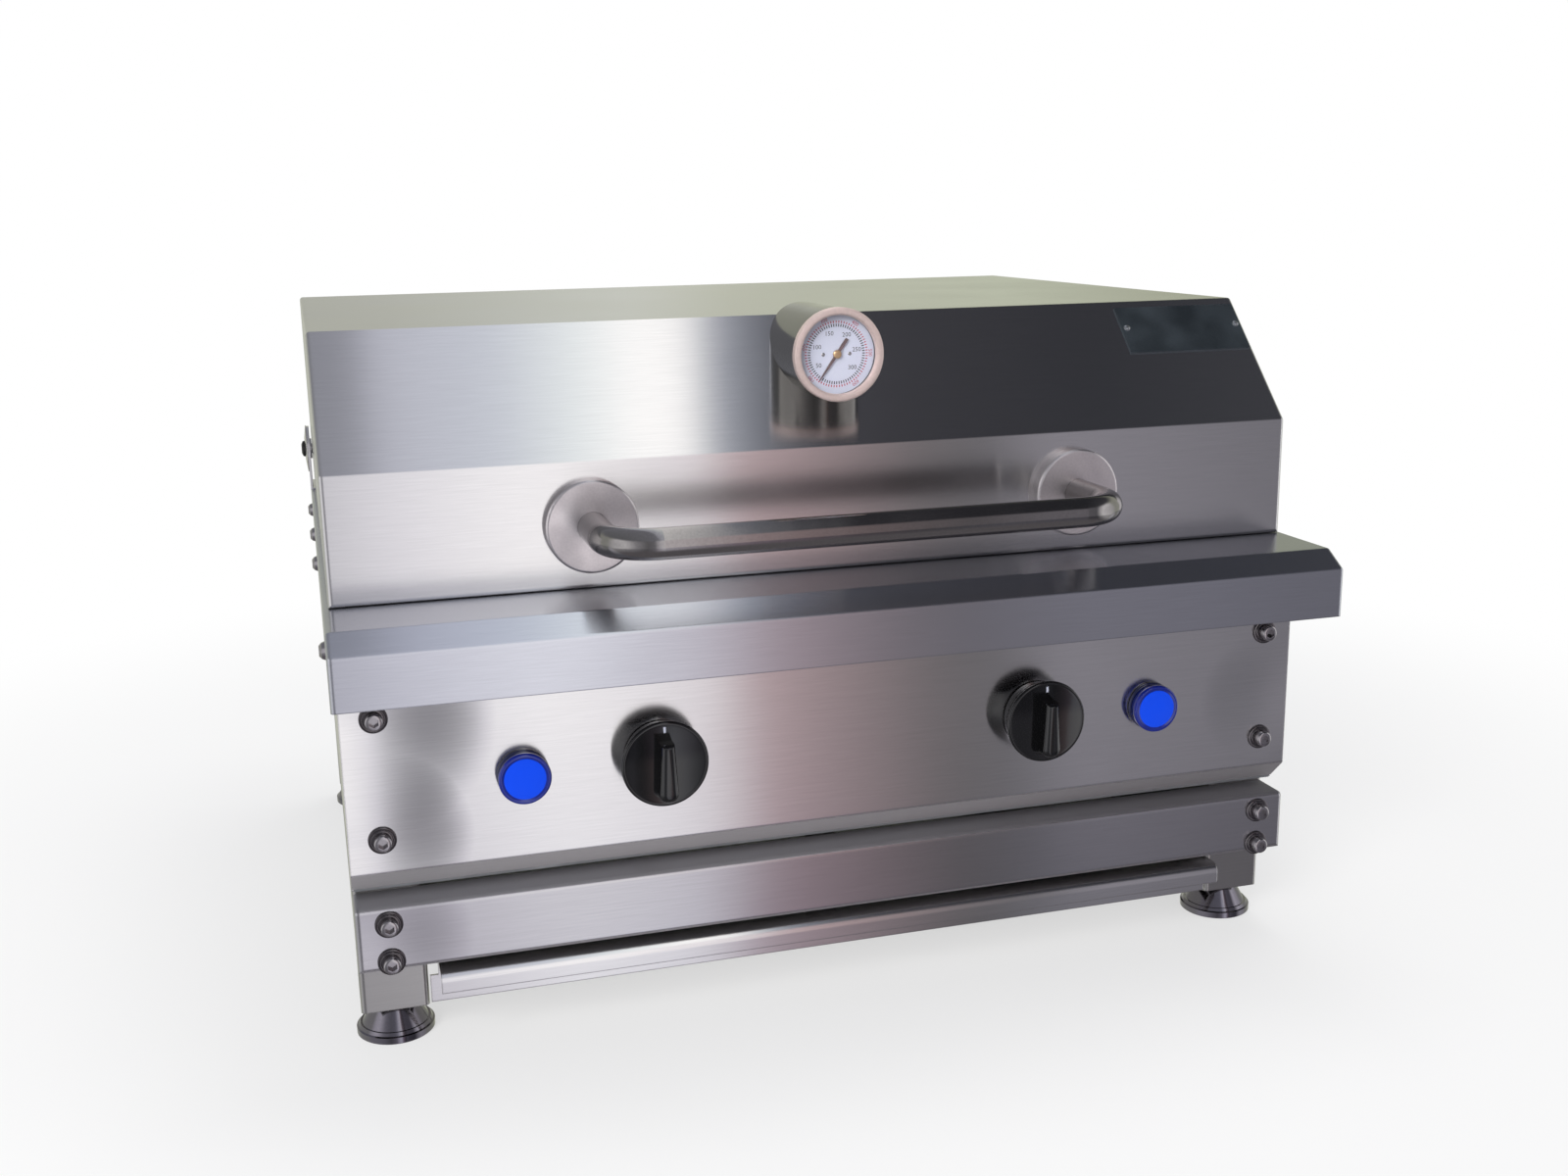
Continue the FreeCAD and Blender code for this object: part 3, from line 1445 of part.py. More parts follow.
def make_hinges():
    ear = S.hinge_ear
    foot = S.hinge_foot
    brackets = []
    washers = []
    bolts = []
    nuts = []
    plate_inner = worktop_half - S.hinge_plate
    for name, side in SIDES:
        bracket = Piece("bracket_" + name)
        low_x = plate_inner if side > 0 else -worktop_half
        bracket.pad("X", low_x, low_x + S.hinge_plate, [
            (pivot_y - foot, worktop_top),
            (pivot_y + foot, worktop_top),
            (pivot_y + ear, pivot_z),
            Turn((pivot_y, pivot_z), (pivot_y - ear, pivot_z), "u"),
        ])
        foot_inner = side * (plate_inner - S.hinge_foot_width)
        bracket.pad("Z", worktop_top, worktop_top + S.sheet,
                    rectangle(side * (plate_inner + S.sheet / 2), pivot_y - foot,
                              foot_inner, pivot_y + foot))
        bracket.pocket("X", low_x - OVERCUT, low_x + OVERCUT,
                       Hole(pivot_y, pivot_z, S.hinge_bolt))
        brackets.append(bracket.body)
    node("hinge_brackets", group(*brackets))

    dish = Piece("hinge_dish")
    dish.turn("X", [
        (ZERO, S.hinge_bolt),
        (ZERO, S.hinge_dish_radius),
        (S.hinge_dish_rim, S.hinge_dish_radius),
        (S.hinge_dish, S.hinge_head_radius + S.hinge_dish),
        (S.hinge_dish, S.hinge_bolt),
    ])
    spacer = Piece("hinge_spacer")
    spacer_out = -S.hinge_plate
    spacer.turn("X", [
        (spacer_out - S.hinge_spacer, S.hinge_bolt),
        (spacer_out - S.hinge_spacer, S.hinge_spacer_radius),
        (spacer_out, S.hinge_spacer_radius),
        (spacer_out, S.hinge_bolt),
    ])
    nut_out = -(worktop_half - inside_half) - S.seat_gap
    bolt = Piece("hinge_bolt")
    bolt.turn("X", [
        (nut_out - S.hinge_nut, ZERO),
        (nut_out - S.hinge_nut, S.hinge_bolt),
        (S.hinge_dish, S.hinge_bolt),
        (S.hinge_dish, S.hinge_head_radius),
        (S.hinge_dish + S.hinge_head_waist, S.hinge_head_waist_radius),
        (S.hinge_dish + S.hinge_head, S.hinge_head_top_radius),
        (S.hinge_dish + S.hinge_head, ZERO),
    ])
    for _, side in SIDES:
        turn = HALF_TURN if side < 0 else None
        x = side * worktop_half
        for master in (dish, spacer):
            washers.append(copy_at(master.body, x, pivot_y, pivot_z, turn))
        bolts.append(copy_at(bolt.body, x, pivot_y, pivot_z, turn))
        nut_x = x + side * nut_out
        start = nut_x if side < 0 else nut_x - S.hinge_nut
        nut = hexagon("X", start, pivot_y, pivot_z, S.hinge_nut_radius, S.hinge_nut)
        bore = rod("X", start - OVERCUT, pivot_y, pivot_z, S.hinge_bolt,
                   S.hinge_nut + OVERCUT * 2)
        nuts.append(cut(nut, bore))
    node("hinge_washers", group(*washers))
    node("hinge_bolts", group(*bolts))
    node("hinge_nuts", group(*nuts))


def make_handle():
    bar = Piece("handle_bar")
    half = S.handle_half
    straight = half - S.handle_bend
    depth = S.handle_reach - S.handle_bend
    bar.pipe("Z", [
        (-half, ZERO),
        (-half, -depth),
        Turn((-straight, -depth), (-straight, -S.handle_reach), "v"),
        (straight, -S.handle_reach),
        Turn((straight, -depth), (half, -depth), "u"),
        (half, ZERO),
    ], "Y", ZERO, Hole(-half, ZERO, S.handle_radius))
    bar.pocket("Y", -S.handle_screw_length, OVERCUT,
               *[Hole(side * half, ZERO, S.handle_screw) for _, side in SIDES])
    bar.at(ZERO, lid_front, handle_z)
    node("handle_bar", bar.body)

    rosette = Piece("rosette")
    edge = S.rosette_edge
    rosette.turn("Y", [
        (S.handle_radius + S.shaft_gap, ZERO),
        (S.rosette_radius, ZERO),
        (S.rosette_radius, -S.rosette_height + edge),
        Turn((S.rosette_radius - edge, -S.rosette_height + edge),
             (S.rosette_radius - edge, -S.rosette_height), "v", clockwise=True),
        (S.handle_radius + S.shaft_gap, -S.rosette_height),
    ])
    node("handle_rosettes", group(*[copy_at(rosette.body, side * half, lid_front, handle_z)
                                    for _, side in SIDES]))
    screw = Piece("handle_screw")
    back = S.sheet
    screw.turn("Y", [
        (ZERO, -S.handle_screw_length),
        (S.handle_screw, -S.handle_screw_length),
        (S.handle_screw, back),
        (S.handle_screw_head, back),
        (S.handle_screw_head, back + S.handle_screw_head_height),
        (ZERO, back + S.handle_screw_head_height),
    ])
    node("handle_screws", group(*[copy_at(screw.body, side * half, lid_front, handle_z)
                                  for _, side in SIDES]))


def make_gauge():
    """The gauge looks to the front; each level below is behind the lid's front plane."""
    bore = S.housing_radius - S.housing_wall
    skirt_inner = S.bezel_radius - S.bezel_skirt
    glass_back = S.bezel_lip + S.glass_height
    case_front = glass_back
    case_radius = bore - S.weld_gap
    case_back = case_front + S.case_depth
    dial_front = case_front + S.dial_depth
    dial_back = dial_front + S.dial_height
    cup = S.bezel_window + S.dial_margin

    housing = Piece("gauge_housing")
    deep = S.bezel_depth + S.housing_length
    housing.pad("Y", S.bezel_depth, deep, Hole(ZERO, ZERO, S.housing_radius),
                Hole(ZERO, ZERO, bore))
    drop = gauge_z - crease
    step = S.slope_run / slope_rise
    low_v = -S.housing_radius - OVERCUT
    high_v = S.housing_radius + OVERCUT
    far = deep + S.housing_past
    housing.pocket("X", -S.housing_radius - OVERCUT, S.housing_radius + OVERCUT, [
        ((low_v + drop) * step, low_v),
        ((high_v + drop) * step, high_v),
        (far, high_v),
        (far, low_v),
    ])
    housing.at(ZERO, lid_front, gauge_z)
    node("gauge_housing", housing.body)

    case = Piece("gauge_case")
    case.turn("Y", [
        (cup, case_front),
        (skirt_inner - S.weld_gap, case_front),
        (skirt_inner - S.weld_gap, S.bezel_depth - S.weld_gap),
        (case_radius, S.bezel_depth - S.weld_gap),
        (case_radius, case_back),
        (S.staff_radius + S.shaft_gap, case_back),
        (S.staff_radius + S.shaft_gap, dial_back),
        (cup, dial_back),
    ])
    case.at(ZERO, lid_front, gauge_z)
    node("gauge_case", case.body)

    bezel = Piece("gauge_bezel")
    edge = S.bezel_lip / 2
    bezel.turn("Y", [
        (S.bezel_window, edge),
        (S.bezel_window + edge, ZERO),
        (S.bezel_radius - edge * 2, ZERO),
        Turn((S.bezel_radius - edge * 2, edge * 2), (S.bezel_radius, edge * 2), "u"),
        (S.bezel_radius, S.bezel_depth - S.weld_gap),
        (skirt_inner, S.bezel_depth - S.weld_gap),
        (skirt_inner, S.bezel_lip),
        (S.bezel_window, S.bezel_lip),
    ])
    bezel.at(ZERO, lid_front, gauge_z)
    node("gauge_bezel", bezel.body)

    glass = rod("Y", ZERO, lid_front + S.bezel_lip, gauge_z,
                skirt_inner - S.weld_gap, S.glass_height)
    node("gauge_glass", glass)

    disc = rod("Y", ZERO, lid_front + dial_front, gauge_z, cup - S.weld_gap, S.dial_height)
    hole = rod("Y", ZERO, lid_front + dial_front - OVERCUT, gauge_z,
               S.staff_radius + S.seat_gap, S.dial_height + OVERCUT * 2)
    node("gauge_dial", cut(disc, hole))

    angle = math.radians(S.pointer_angle.value)
    pointer = Piece("gauge_pointer")
    front = dial_front - S.pointer_lift
    half = S.pointer_width / 2
    pointer.pad("Y", front, front + S.pointer_height, [
        (-S.pointer_end / 2, -S.pointer_tip),
        (S.pointer_end / 2, -S.pointer_tip),
        (half, ZERO),
        (half, S.pointer_tail),
        (-half, S.pointer_tail),
        (-half, ZERO),
    ])
    pointer.pad("Y", front, front + S.pointer_height, Hole(ZERO, ZERO, S.pointer_hub))
    pointer.pad("Y", front, front + S.staff_length, Hole(ZERO, ZERO, S.staff_radius))
    pointer.body.Placement = FreeCAD.Placement(V(), FreeCAD.Rotation(V(0, 1, 0), math.degrees(angle)))
    pointer.at(ZERO, lid_front, gauge_z)
    node("gauge_pointer", pointer.body)

    probe_start = lid_front + case_back
    boss = rod("Y", ZERO, probe_start, gauge_z, S.probe_boss, S.probe_boss_length)
    stem = rod("Y", ZERO, probe_start, gauge_z, S.probe_radius, S.probe_length)
    node("gauge_probe", join(boss, stem))


def make_maker_plate():
    plate = Piece("maker_plate")
    right = half_width - S.plate_inset
    left = right - S.plate_width
    up = S.plate_up
    high = S.plate_up + S.plate_tall
    plate.pad("X", left, right,
              [on_slope(up, ZERO), on_slope(high, ZERO),
               on_slope(high, S.plate_sheet), on_slope(up, S.plate_sheet)])
    node("maker_plate", plate.body)
    rivet = Piece("plate_rivet")
    rivet.turn("Z", [
        (ZERO, ZERO),
        (S.plate_screw_radius, ZERO),
        (S.plate_screw_waist_radius, S.plate_screw_waist),
        (S.plate_screw_top_radius, S.plate_screw_height),
        (ZERO, S.plate_screw_height),
    ])
    tilt = FreeCAD.Rotation(V(1, 0, 0), math.degrees(
        math.atan2(slope_rise.value, S.slope_run.value)))
    y, z = on_slope(up + S.plate_screw_up, S.plate_sheet)
    copies = [copy_at(rivet.body, x, y, z, tilt)
              for x in (left + S.plate_screw_side, right - S.plate_screw_side)]
    node("maker_plate_rivets", group(*copies))


make_worktop()
make_side_panels()
make_rear_panel()
make_bottom_plate()
make_control_panel()
make_legs()
make_leg_plugs()
make_feet()
make_front_rail()
make_rear_and_side_rails()
make_runners()
make_drawer()
make_griddle()
make_plate_supports()
make_elements()
make_clamps()
make_heat_shield()
make_drain_tube()
make_thermostats()
make_bulbs()
make_knobs()
make_lamps()
make_wiring_parts()
make_panel_and_rail_screws()
make_side_screws()
make_rivet_nuts()
make_lid_shell()
make_hinges()
make_handle()
make_gauge()
make_maker_plate()

doc.recompute()

faults = []
for item in doc.Objects:
    if "Invalid" in item.State or "Error" in item.State:
        faults.append("%s is %s" % (item.Label, item.State))
for item in nodes:
    shape = item.Shape
    if shape.isNull() or not shape.isValid() or not shape.Solids:
        faults.append("%s has no sound solid" % item.Label)
if faults:
    raise RuntimeError("; ".join(faults))

os.makedirs("parts", exist_ok=True)
for item in nodes:
    item.Shape.exportStep("parts/%s.step" % item.Label)
    print("%-22s solids %2d  volume %10.0f" % (
        item.Label, len(item.Shape.Solids), item.Shape.Volume))
print("nodes", len(nodes))
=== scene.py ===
import json
import logging
import math
from collections.abc import Callable
from dataclasses import dataclass
from enum import Enum

import bpy
from mathutils import Matrix, Vector


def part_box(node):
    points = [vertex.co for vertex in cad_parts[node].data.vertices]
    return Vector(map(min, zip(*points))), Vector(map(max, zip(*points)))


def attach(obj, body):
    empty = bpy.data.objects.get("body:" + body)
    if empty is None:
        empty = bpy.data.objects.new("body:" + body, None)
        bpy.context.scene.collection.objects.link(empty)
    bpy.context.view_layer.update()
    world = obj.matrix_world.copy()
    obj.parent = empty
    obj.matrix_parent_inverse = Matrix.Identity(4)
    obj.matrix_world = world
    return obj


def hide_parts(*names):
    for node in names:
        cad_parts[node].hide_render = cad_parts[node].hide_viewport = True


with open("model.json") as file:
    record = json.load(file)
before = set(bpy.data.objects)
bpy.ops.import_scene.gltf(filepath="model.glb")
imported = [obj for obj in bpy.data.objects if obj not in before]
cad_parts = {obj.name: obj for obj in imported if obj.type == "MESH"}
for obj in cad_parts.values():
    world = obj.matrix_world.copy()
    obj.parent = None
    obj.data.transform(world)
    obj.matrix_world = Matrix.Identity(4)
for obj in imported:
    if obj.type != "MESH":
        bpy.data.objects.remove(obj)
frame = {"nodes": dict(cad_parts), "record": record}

# Looks of an electric plancha: brushed stainless sheet, polished fittings, black knobs,
# blue pilot lamps and a lid thermometer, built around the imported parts. Lengths are metres.

LOG = logging.getLogger("plancha")
MM = 0.001
NEAR = 0.01  # how close to a face, in millimetres, a vertex counts as on it
SMOOTH_BELOW = math.radians(38)
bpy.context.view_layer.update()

# Almost all of a noise pattern keeps between these two values.
NOISE_LOW = 0.3
NOISE_HIGH = 0.7

Colour = tuple[float, float, float, float]


class Grain(Enum):
    """The way a sheet's brushing runs."""

    ACROSS = (1.0, 0.0, 0.0)
    DEEP = (0.0, 1.0, 0.0)


def linear(hex_code: str) -> Colour:
    """Turn an sRGB hex value into a linear colour.

    Args:
        hex_code: six hex digits.

    Returns:
        Linear red, green and blue, and full opacity.
    """
    parts = [int(hex_code[i:i + 2], 16) / 255 for i in (0, 2, 4)]
    red, green, blue = [
        part / 12.92 if part <= 0.04045 else ((part + 0.055) / 1.055) ** 2.4 for part in parts]
    return (red, green, blue, 1.0)


def add_node(tree: bpy.types.NodeTree, kind: str, inputs: dict | None = None,
             **settings: object) -> bpy.types.Node:
    """Add a node to a tree.

    Args:
        tree: the node tree.
        kind: the node's type name without its ShaderNode prefix.
        inputs: values or output sockets for its inputs, by name or number.
        settings: properties of the node.

    Returns:
        The new node.
    """
    node = tree.nodes.new("ShaderNode" + kind)
    for name, value in settings.items():
        setattr(node, name, value)
    for key, value in (inputs or {}).items():
        if isinstance(value, bpy.types.NodeSocket):
            tree.links.new(value, node.inputs[key])
        else:
            node.inputs[key].default_value = value
    return node


def new_material(name: str) -> tuple[bpy.types.Material, bpy.types.NodeTree]:
    """Make an empty material with nodes.

    Args:
        name: its name.

    Returns:
        The material and its tree.
    """
    material = bpy.data.materials.new(name)
    material.use_nodes = True
    material.node_tree.nodes.clear()
    return material, material.node_tree


@dataclass(frozen=True)
class Dimple:
    """A shallow dip that a screw pulls into a sheet: its centre, reach and depth in metres."""

    centre: tuple[float, float, float]
    reach: float
    depth: float


@dataclass(frozen=True)
class BrushedStainless:
    """304 stainless sheet with a number 4 brushed finish.

    The belt leaves fine parallel scratches, so a highlight spreads across them and stays
    narrow along them. Scratches are drawn half a millimetre apart, coarser than the real
    grit, so that they show in the render. Folds and lying faces are matt where a fold
    roughness is given.
    """

    name: str
    tone: str = "DEDCDB"
    roughness: float = 0.15
    anisotropy: float = 0.93
    grain: Grain = Grain.ACROSS
    side_grain: Grain = Grain.DEEP
    scratch_gap: float = 0.5 * MM
    scratch_length: float = 26 * MM
    scratch_depth: float = 0.0022 * MM
    scratch_shade: float = 0.93
    waviness: float = 0.02 * MM
    wave_length: float = 200 * MM
    gloss_patch: float = 1000 / 9 * MM
    gloss_spread: tuple[float, float] = (0.9, 1.15)
    side_from: float = 0.8
    fold_roughness: float = 0.0
    fold_from: float = 0.3
    fold_full: float = 0.6
    fold_radius: float = 1.1 * MM
    dimples: tuple[Dimple, ...] = ()

    def scratches(self, tree: bpy.types.NodeTree, place: bpy.types.NodeSocket,
                  on_side: bpy.types.NodeSocket) -> bpy.types.NodeSocket:
        """Draw the scratches, one way on the front and top and another on the sides.

        Args:
            tree: the finish's node tree.
            place: Object coordinates.
            on_side: 1 where the sheet faces left or right, else 0.

        Returns:
            The pattern, from 0 to 1.
        """
        patterns = []
        for grain in (self.grain, self.side_grain):
            scale = [1 / self.scratch_length if part else 1 / self.scratch_gap
                     for part in grain.value]
            stretch = add_node(tree, "Mapping", {"Vector": place, "Scale": scale})
            lines = add_node(tree, "TexNoise", {"Vector": stretch.outputs[0], "Scale": 1.0,
                                                "Detail": 3.0, "Roughness": 0.65})
            patterns.append(lines.outputs["Fac"])
        return add_node(tree, "Mix", {0: on_side, 2: patterns[0], 3: patterns[1]},
                        data_type="FLOAT").outputs[0]

    def height(self, tree: bpy.types.NodeTree, place: bpy.types.NodeSocket,
               scratches: bpy.types.NodeSocket) -> bpy.types.NodeSocket:
        """Add up the scratches, the sheet's waves and the dips round its screws.

        Args:
            tree: the finish's node tree.
            place: Object coordinates.
            scratches: the scratch pattern.

        Returns:
            The height in metres.
        """
        waves = add_node(tree, "TexNoise", {"Vector": place, "Scale": 1 / self.wave_length,
                                            "Detail": 1.0, "Roughness": 0.4})
        grooves = add_node(tree, "Math", {0: scratches, 1: self.scratch_depth},
                           operation="MULTIPLY")
        swell = add_node(tree, "Math", {0: waves.outputs["Fac"], 1: self.waviness},
                         operation="MULTIPLY")
        height = add_node(tree, "Math", {0: grooves.outputs[0], 1: swell.outputs[0]},
                          operation="ADD")
        for dimple in self.dimples:
            reach = add_node(tree, "VectorMath", {0: place, 1: dimple.centre},
                             operation="DISTANCE")
            dip = add_node(tree, "MapRange", {"Value": reach.outputs["Value"],
                                              "From Min": 0.0, "From Max": dimple.reach,
                                              "To Min": -dimple.depth, "To Max": 0.0},
                           interpolation_type="SMOOTHSTEP")
            height = add_node(tree, "Math", {0: height.outputs[0], 1: dip.outputs[0]},
                              operation="ADD")
        return height.outputs[0]

    def along(self, tree: bpy.types.NodeTree,
              on_side: bpy.types.NodeSocket) -> bpy.types.NodeSocket:
        """Find the way the brushing runs.

        Args:
            tree: the finish's node tree.
            on_side: 1 where the sheet faces left or right, else 0.

        Returns:
            The direction, for the shader's tangent.
        """
        axes = [add_node(tree, "Mix", {0: on_side, 2: front, 3: side},
                         data_type="FLOAT").outputs[0]
                for front, side in zip(self.grain.value, self.side_grain.value)]
        return add_node(tree, "CombineXYZ", dict(enumerate(axes))).outputs[0]

    def build(self) -> bpy.types.Material:
        """Make the material.

        Returns:
            The finish, ready to be given to a piece.
        """
        material, tree = new_material(self.name)
        place = add_node(tree, "TexCoord").outputs
        facing = add_node(tree, "SeparateXYZ", {0: place["Normal"]}).outputs
        sideways = add_node(tree, "Math", {0: facing["X"]}, operation="ABSOLUTE")
        on_side = add_node(tree, "Math", {0: sideways.outputs[0], 1: self.side_from},
                           operation="GREATER_THAN").outputs[0]
        scratches = self.scratches(tree, place["Object"], on_side)
        rounded = add_node(tree, "Bevel", {"Radius": self.fold_radius}, samples=4)
        bump = add_node(tree, "Bump", {
            "Strength": 1.0, "Distance": 1.0, "Normal": rounded.outputs[0],
            "Height": self.height(tree, place["Object"], scratches)})
        tone = add_node(tree, "ValToRGB", {"Fac": scratches})
        full = linear(self.tone)
        low, high = tone.color_ramp.elements
        low.position = NOISE_LOW
        low.color = tuple(part * self.scratch_shade for part in full[:3]) + (1.0,)
        high.position = NOISE_HIGH
        high.color = full
        broad = add_node(tree, "TexNoise", {"Vector": place["Object"],
                                            "Scale": 1 / self.gloss_patch,
                                            "Detail": 2.0, "Roughness": 0.5})
        gloss = add_node(tree, "MapRange", {
            "Value": broad.outputs["Fac"], "From Min": NOISE_LOW, "From Max": NOISE_HIGH,
            "To Min": self.roughness * self.gloss_spread[0],
            "To Max": self.roughness * self.gloss_spread[1]})
        if self.fold_roughness:
            upright = add_node(tree, "Math", {0: facing["Z"]}, operation="ABSOLUTE")
            gloss = add_node(tree, "MapRange", {
                "Value": upright.outputs[0], "From Min": self.fold_from,
                "From Max": self.fold_full, "To Min": gloss.outputs[0],
                "To Max": self.fold_roughness})
        steel = add_node(tree, "BsdfPrincipled", {
            "Base Color": tone.outputs[0], "Metallic": 1.0, "Roughness": gloss.outputs[0],
            "Anisotropic": self.anisotropy, "Anisotropic Rotation": 0.25,
            "Tangent": self.along(tree, on_side), "Normal": bump.outputs[0]})
        add_node(tree, "OutputMaterial", {"Surface": steel.outputs[0]})
        return material


@dataclass(frozen=True)
class TurnedSteel:
    """Polished, satin or plated steel without a strong grain.

    Handling leaves it slightly uneven, so its gloss changes from place to place.
    """

    name: str
    tone: str
    roughness: float
    speck: float = 1.5 * MM
    shade: float = 0.9
    unevenness: float = 0.004 * MM
    metallic: float = 1.0
    gloss_patch: float = 25 * MM
    gloss_spread: tuple[float, float] = (0.8, 1.25)

    def build(self) -> bpy.types.Material:
        """Make the material.

        Returns:
            The finish, ready to be given to a piece.
        """
        material, tree = new_material(self.name)
        place = add_node(tree, "TexCoord").outputs["Object"]
        grain = add_node(tree, "TexNoise", {"Vector": place, "Scale": 1 / self.speck,
                                            "Detail": 3.0, "Roughness": 0.6})
        broad = add_node(tree, "TexNoise", {"Vector": place, "Scale": 1 / self.gloss_patch,
                                            "Detail": 2.0, "Roughness": 0.5})
        gloss = add_node(tree, "MapRange", {
            "Value": broad.outputs["Fac"], "From Min": NOISE_LOW, "From Max": NOISE_HIGH,
            "To Min": self.roughness * self.gloss_spread[0],
            "To Max": self.roughness * self.gloss_spread[1]})
        height = add_node(tree, "Math", {0: grain.outputs["Fac"], 1: self.unevenness},
                          operation="MULTIPLY")
        bump = add_node(tree, "Bump", {"Strength": 1.0, "Distance": 1.0,
                                       "Height": height.outputs[0]})
        tone = add_node(tree, "ValToRGB", {"Fac": grain.outputs["Fac"]})
        full = linear(self.tone)
        low, high = tone.color_ramp.elements
        low.position = NOISE_LOW
        low.color = tuple(part * self.shade for part in full[:3]) + (1.0,)
        high.position = NOISE_HIGH
        high.color = full
        steel = add_node(tree, "BsdfPrincipled", {
            "Base Color": tone.outputs[0], "Metallic": self.metallic,
            "Roughness": gloss.outputs[0], "Normal": bump.outputs[0]})
        add_node(tree, "OutputMaterial", {"Surface": steel.outputs[0]})
        return material


@dataclass(frozen=True)
class MouldedPlastic:
    """A moulded or enamelled surface with a faint orange peel and a little dust in its gloss."""

    name: str
    tone: str
    roughness: float
    ior: float = 1.5
    coat: float = 0.0
    peel: float = 0.6 * MM
    peel_depth: float = 0.004 * MM
    dust_patch: float = 50 / 3 * MM
    dust_lift: float = 1.12
    dust_haze: float = 0.002
    gloss_spread: tuple[float, float] = (0.85, 1.3)
    glow: float = 0.0

    def build(self) -> bpy.types.Material:
        """Make the material.

        Returns:
            The finish, ready to be given to a piece.
        """
        material, tree = new_material(self.name)
        place = add_node(tree, "TexCoord").outputs["Object"]
        skin = add_node(tree, "TexNoise", {"Vector": place, "Scale": 1 / self.peel,
                                           "Detail": 2.0, "Roughness": 0.5})
        dust = add_node(tree, "TexNoise", {"Vector": place, "Scale": 1 / self.dust_patch,
                                           "Detail": 4.0, "Roughness": 0.6})
        height = add_node(tree, "Math", {0: skin.outputs["Fac"], 1: self.peel_depth},
                          operation="MULTIPLY")
        bump = add_node(tree, "Bump", {"Strength": 1.0, "Distance": 1.0,
                                       "Height": height.outputs[0]})
        gloss = add_node(tree, "MapRange", {
            "Value": dust.outputs["Fac"], "From Min": NOISE_LOW, "From Max": NOISE_HIGH,
            "To Min": self.roughness * self.gloss_spread[0],
            "To Max": self.roughness * self.gloss_spread[1]})
        tone = add_node(tree, "ValToRGB", {"Fac": dust.outputs["Fac"]})
        full = linear(self.tone)
        clean, dusty = tone.color_ramp.elements
        clean.color = full
        dusty.color = tuple(min(1.0, part * self.dust_lift + self.dust_haze)
                            for part in full[:3]) + (1.0,)
        plastic = add_node(tree, "BsdfPrincipled", {
            "Base Color": tone.outputs[0], "Roughness": gloss.outputs[0], "IOR": self.ior,
            "Coat Weight": self.coat, "Normal": bump.outputs[0]})
        if self.glow:
            plastic.inputs["Emission Color"].default_value = full
            plastic.inputs["Emission Strength"].default_value = self.glow
        add_node(tree, "OutputMaterial", {"Surface": plastic.outputs[0]})
        return material


@dataclass(frozen=True)
class ClearGlass:
    """Float glass, clear and flat, with a faint smear."""

    name: str
    smear_patch: float = 25 / 3 * MM
    haze: float = 0.04

    def build(self) -> bpy.types.Material:
        """Make the material.

        Returns:
            The finish, ready to be given to a piece.
        """
        material, tree = new_material(self.name)
        place = add_node(tree, "TexCoord").outputs["Object"]
        smear = add_node(tree, "TexNoise", {"Vector": place, "Scale": 1 / self.smear_patch,
                                            "Detail": 3.0})
        gloss = add_node(tree, "MapRange", {"Value": smear.outputs["Fac"], "To Min": 0.0,
                                            "To Max": self.haze})
        glass = add_node(tree, "BsdfPrincipled", {
            "Base Color": linear("FFFFFF"), "Roughness": gloss.outputs[0], "IOR": 1.5,
            "Transmission Weight": 1.0})
        clear = add_node(tree, "BsdfTransparent")
        rays = add_node(tree, "LightPath")
        shadow = add_node(tree, "MixShader", {0: rays.outputs["Is Shadow Ray"],
                                              1: glass.outputs[0], 2: clear.outputs[0]})
        add_node(tree, "OutputMaterial", {"Surface": shadow.outputs[0]})
        return material


LEFT_SCREWS = -281.0 * MM
PANEL_FACE = -214.2 * MM
RAIL_FACE = -216.2 * MM

